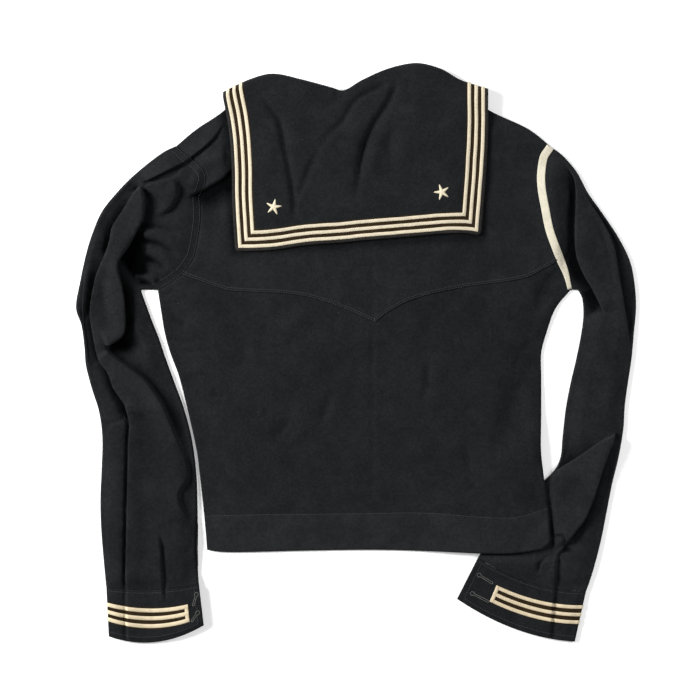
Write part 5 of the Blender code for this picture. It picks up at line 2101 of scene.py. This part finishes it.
@dataclass
class Trims:
    """Shoulder tape, seam stitching and buttonholes."""

    layers: Layers
    finishes: Finishes
    sleeves: dict[Side, Sleeve]
    cuffs: dict[Side, Cuff]
    tape_width: float = 10.0
    tape: BraidSection = BraidSection(1.0, 0.8, drop=0.7, power=6)
    tape_lift: float = 0.35
    yoke_rows: Pair = (1.3, 3.9)
    armhole_rows: Pair = (1.6, 9.0)

    def build(self) -> None:
        """Build all the trims."""
        self.build_shoulder_tape()
        self.build_seams()
        self.build_buttonholes()
        for side in Side:
            for number in (1, 2):
                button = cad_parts[f"cuff_button_{side.value}_{number}"]
                button.data.materials.clear()
                button.data.materials.append(self.finishes.button)

    def build_shoulder_tape(self) -> None:
        """Tape round the back half of the right armhole."""
        armhole = self.layers.armholes[Side.RIGHT]
        shares = np.linspace(0.004, 0.985, 130)
        here = armhole.at(shares)
        ahead = unit(np.gradient(here, axis=0))
        sideways = np.stack([ahead[:, 1], -ahead[:, 0]], axis=1)
        width = self.tape_width * (0.55 + 0.45 * ease(0.01, 0.1, shares))
        offsets = self.tape.offsets()
        plan = here[:, None] + sideways[:, None] * (offsets[None, :] * width[:, None])[..., None]
        places = on_spots(self.layers.back, plan)
        sleeve = on_spots(self.sleeves[Side.RIGHT].top, plan)[..., 2]
        body = places[..., 2]
        under = np.where(offsets > 0, np.maximum(sleeve, body - 1.0), body)
        places[..., 2] = under + self.tape.crown() + self.tape_lift
        weave = weave_places(offsets * self.tape_width, here)
        item = lay_cloth("shoulder_braid", places, self.tape.wall, weave=weave)
        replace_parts(dress(item, self.finishes.ivory), "shoulder_tape")

    def build_seams(self) -> None:
        """Rows of stitches along the yoke, the hem and the left armhole."""
        layers = self.layers
        left = Side.LEFT
        for name, path, asides, surface in (
            ("yoke_stitches", layers.yoke_seam, self.yoke_rows, layers.yoke),
            ("hem_stitches", layers.hem_stitches.path, (0.0,), layers.back),
            ("armhole_stitches_left", layers.armholes[left], self.armhole_rows, self.sleeves[left].top),
        ):
            rows = [(path, aside) for aside in asides]
            dress(sew(name, rows, surface, Stitch()), self.finishes.thread)

    def build_buttonholes(self) -> None:
        """Keyhole buttonholes worked on the upper end of each cuff."""
        stitch = Stitch(length=1.0, thick=0.6, pitch=0.7, proud=0.25)
        for side, holes in BUTTONHOLES.items():
            rows = [(self.keyhole(*hole), 0.0) for hole in holes]
            item = sew(f"buttonholes_{side.value}", rows, self.cuffs[side].face, stitch, crosswise=True)
            dress(item, self.finishes.buttonhole)

    @staticmethod
    def keyhole(eye: Pair, tail: Pair) -> PlanPath:
        """Closed outline of a buttonhole, from its tail round its eye and back.

        Args:
            eye: Plan point of the eye.
            tail: Plan point of the other end.

        Returns:
            The outline.
        """
        start, end = np.array(eye, dtype=float), np.array(tail, dtype=float)
        run = (start - end) / math.dist(eye, tail)
        left = np.array((-run[1], run[0]))
        sides = [[end + side * left * KEYHOLE_TAIL,
                  *(start - run * back + side * left * aside for back, aside in KEYHOLE)] for side in (-1, 1)]
        return PlanPath(np.array([*sides[0], start + run * KEYHOLE_EYE, *sides[1][::-1], sides[0][0]]))


class Softbox(NamedTuple):
    """A round soft light: its place from the middle of the floor in metres, and its power."""

    name: str
    offset: tuple[float, float, float]
    power: float


@dataclass(frozen=True)
class Studio:
    """Pale floor, soft light and an overhead camera."""

    centre: Pair = (-7.5, 3.75)
    view: float = 875.0
    distance: float = 6000.0
    sensor: float = 36.0
    softboxes: tuple[Softbox, ...] = (
        Softbox("left", (-3.5, 1.0, 2.0), 360.0), Softbox("right", (3.5, 0.9, 2.6), 125.0))
    box_size: float = 1.7
    fill: float = 0.17
    grey: float = 0.93
    glow: float = 0.3

    def build(self) -> None:
        """Add the floor, the light and the camera."""
        scene = bpy.context.scene
        x, y = (value * MM for value in self.centre)
        builder = bmesh.new()
        bmesh.ops.create_grid(builder, x_segments=1, y_segments=1, size=3)
        mesh = bpy.data.meshes.new("floor")
        builder.to_mesh(mesh)
        builder.free()
        floor = bpy.data.objects.new("floor", mesh)
        mesh.transform(Matrix.Translation((0, 0, -0.0003)))
        paper, graph, shader = new_material("floor_white", 0.0, 0.5)
        graph.feed(shader, {
            "Base Color": (self.grey, self.grey, self.grey, 1.0), "Roughness": 0.9, "Specular IOR Level": 0.0,
            "Emission Color": WHITE, "Emission Strength": self.glow})
        mesh.materials.append(paper)
        scene.collection.objects.link(floor)

        world = bpy.data.worlds.new("studio")
        world.use_nodes = True
        background = world.node_tree.nodes["Background"]
        Graph(world.node_tree).feed(background, {"Color": WHITE, "Strength": self.fill})
        scene.world = world
        for box in self.softboxes:
            light = bpy.data.lights.new(f"softbox_{box.name}", "AREA")
            light.shape = "DISK"
            light.size = self.box_size
            light.energy = box.power
            lamp = bpy.data.objects.new(light.name, light)
            place = Vector((x, y, 0)) + Vector(box.offset)
            aim = (-Vector(box.offset)).to_track_quat("-Z", "Y").to_matrix().to_4x4()
            lamp.matrix_world = Matrix.Translation(place) @ aim
            scene.collection.objects.link(lamp)

        camera = bpy.data.cameras.new("overhead")
        camera.sensor_width = self.sensor
        camera.lens = self.sensor * self.distance / self.view
        camera.clip_end = 20.0
        holder = bpy.data.objects.new("overhead", camera)
        holder.location = (x, y, self.distance * MM)
        scene.collection.objects.link(holder)
        scene.camera = holder
        scene.view_settings.view_transform = "Standard"


def main() -> None:
    """Build the shirt piece by piece."""
    logging.basicConfig(level=logging.INFO, format="%(name)s %(message)s")
    Studio().build()
    finishes = Finishes()
    layers = Layers()
    Body(layers, finishes).build()
    sleeves = {Side.LEFT: Sleeve(Side.LEFT, layers, finishes, head=0.42),
               Side.RIGHT: Sleeve(Side.RIGHT, layers, finishes, head=0.26, wear_and_lightening=0.12)}
    for sleeve in sleeves.values():
        sleeve.build()
    cuffs = {Side.LEFT: Cuff(Side.LEFT, layers, finishes, 16.0, (0.59, 0.495), braid_pitch=9.1),
             Side.RIGHT: Cuff(Side.RIGHT, layers, finishes, 32.0, (0.505, 0.465), braid_pitch=9.7)}
    for cuff in cuffs.values():
        cuff.build()
    Collar(layers, finishes).build()
    Trims(layers, finishes, sleeves, cuffs).build()


if __name__ == "__main__":
    main()
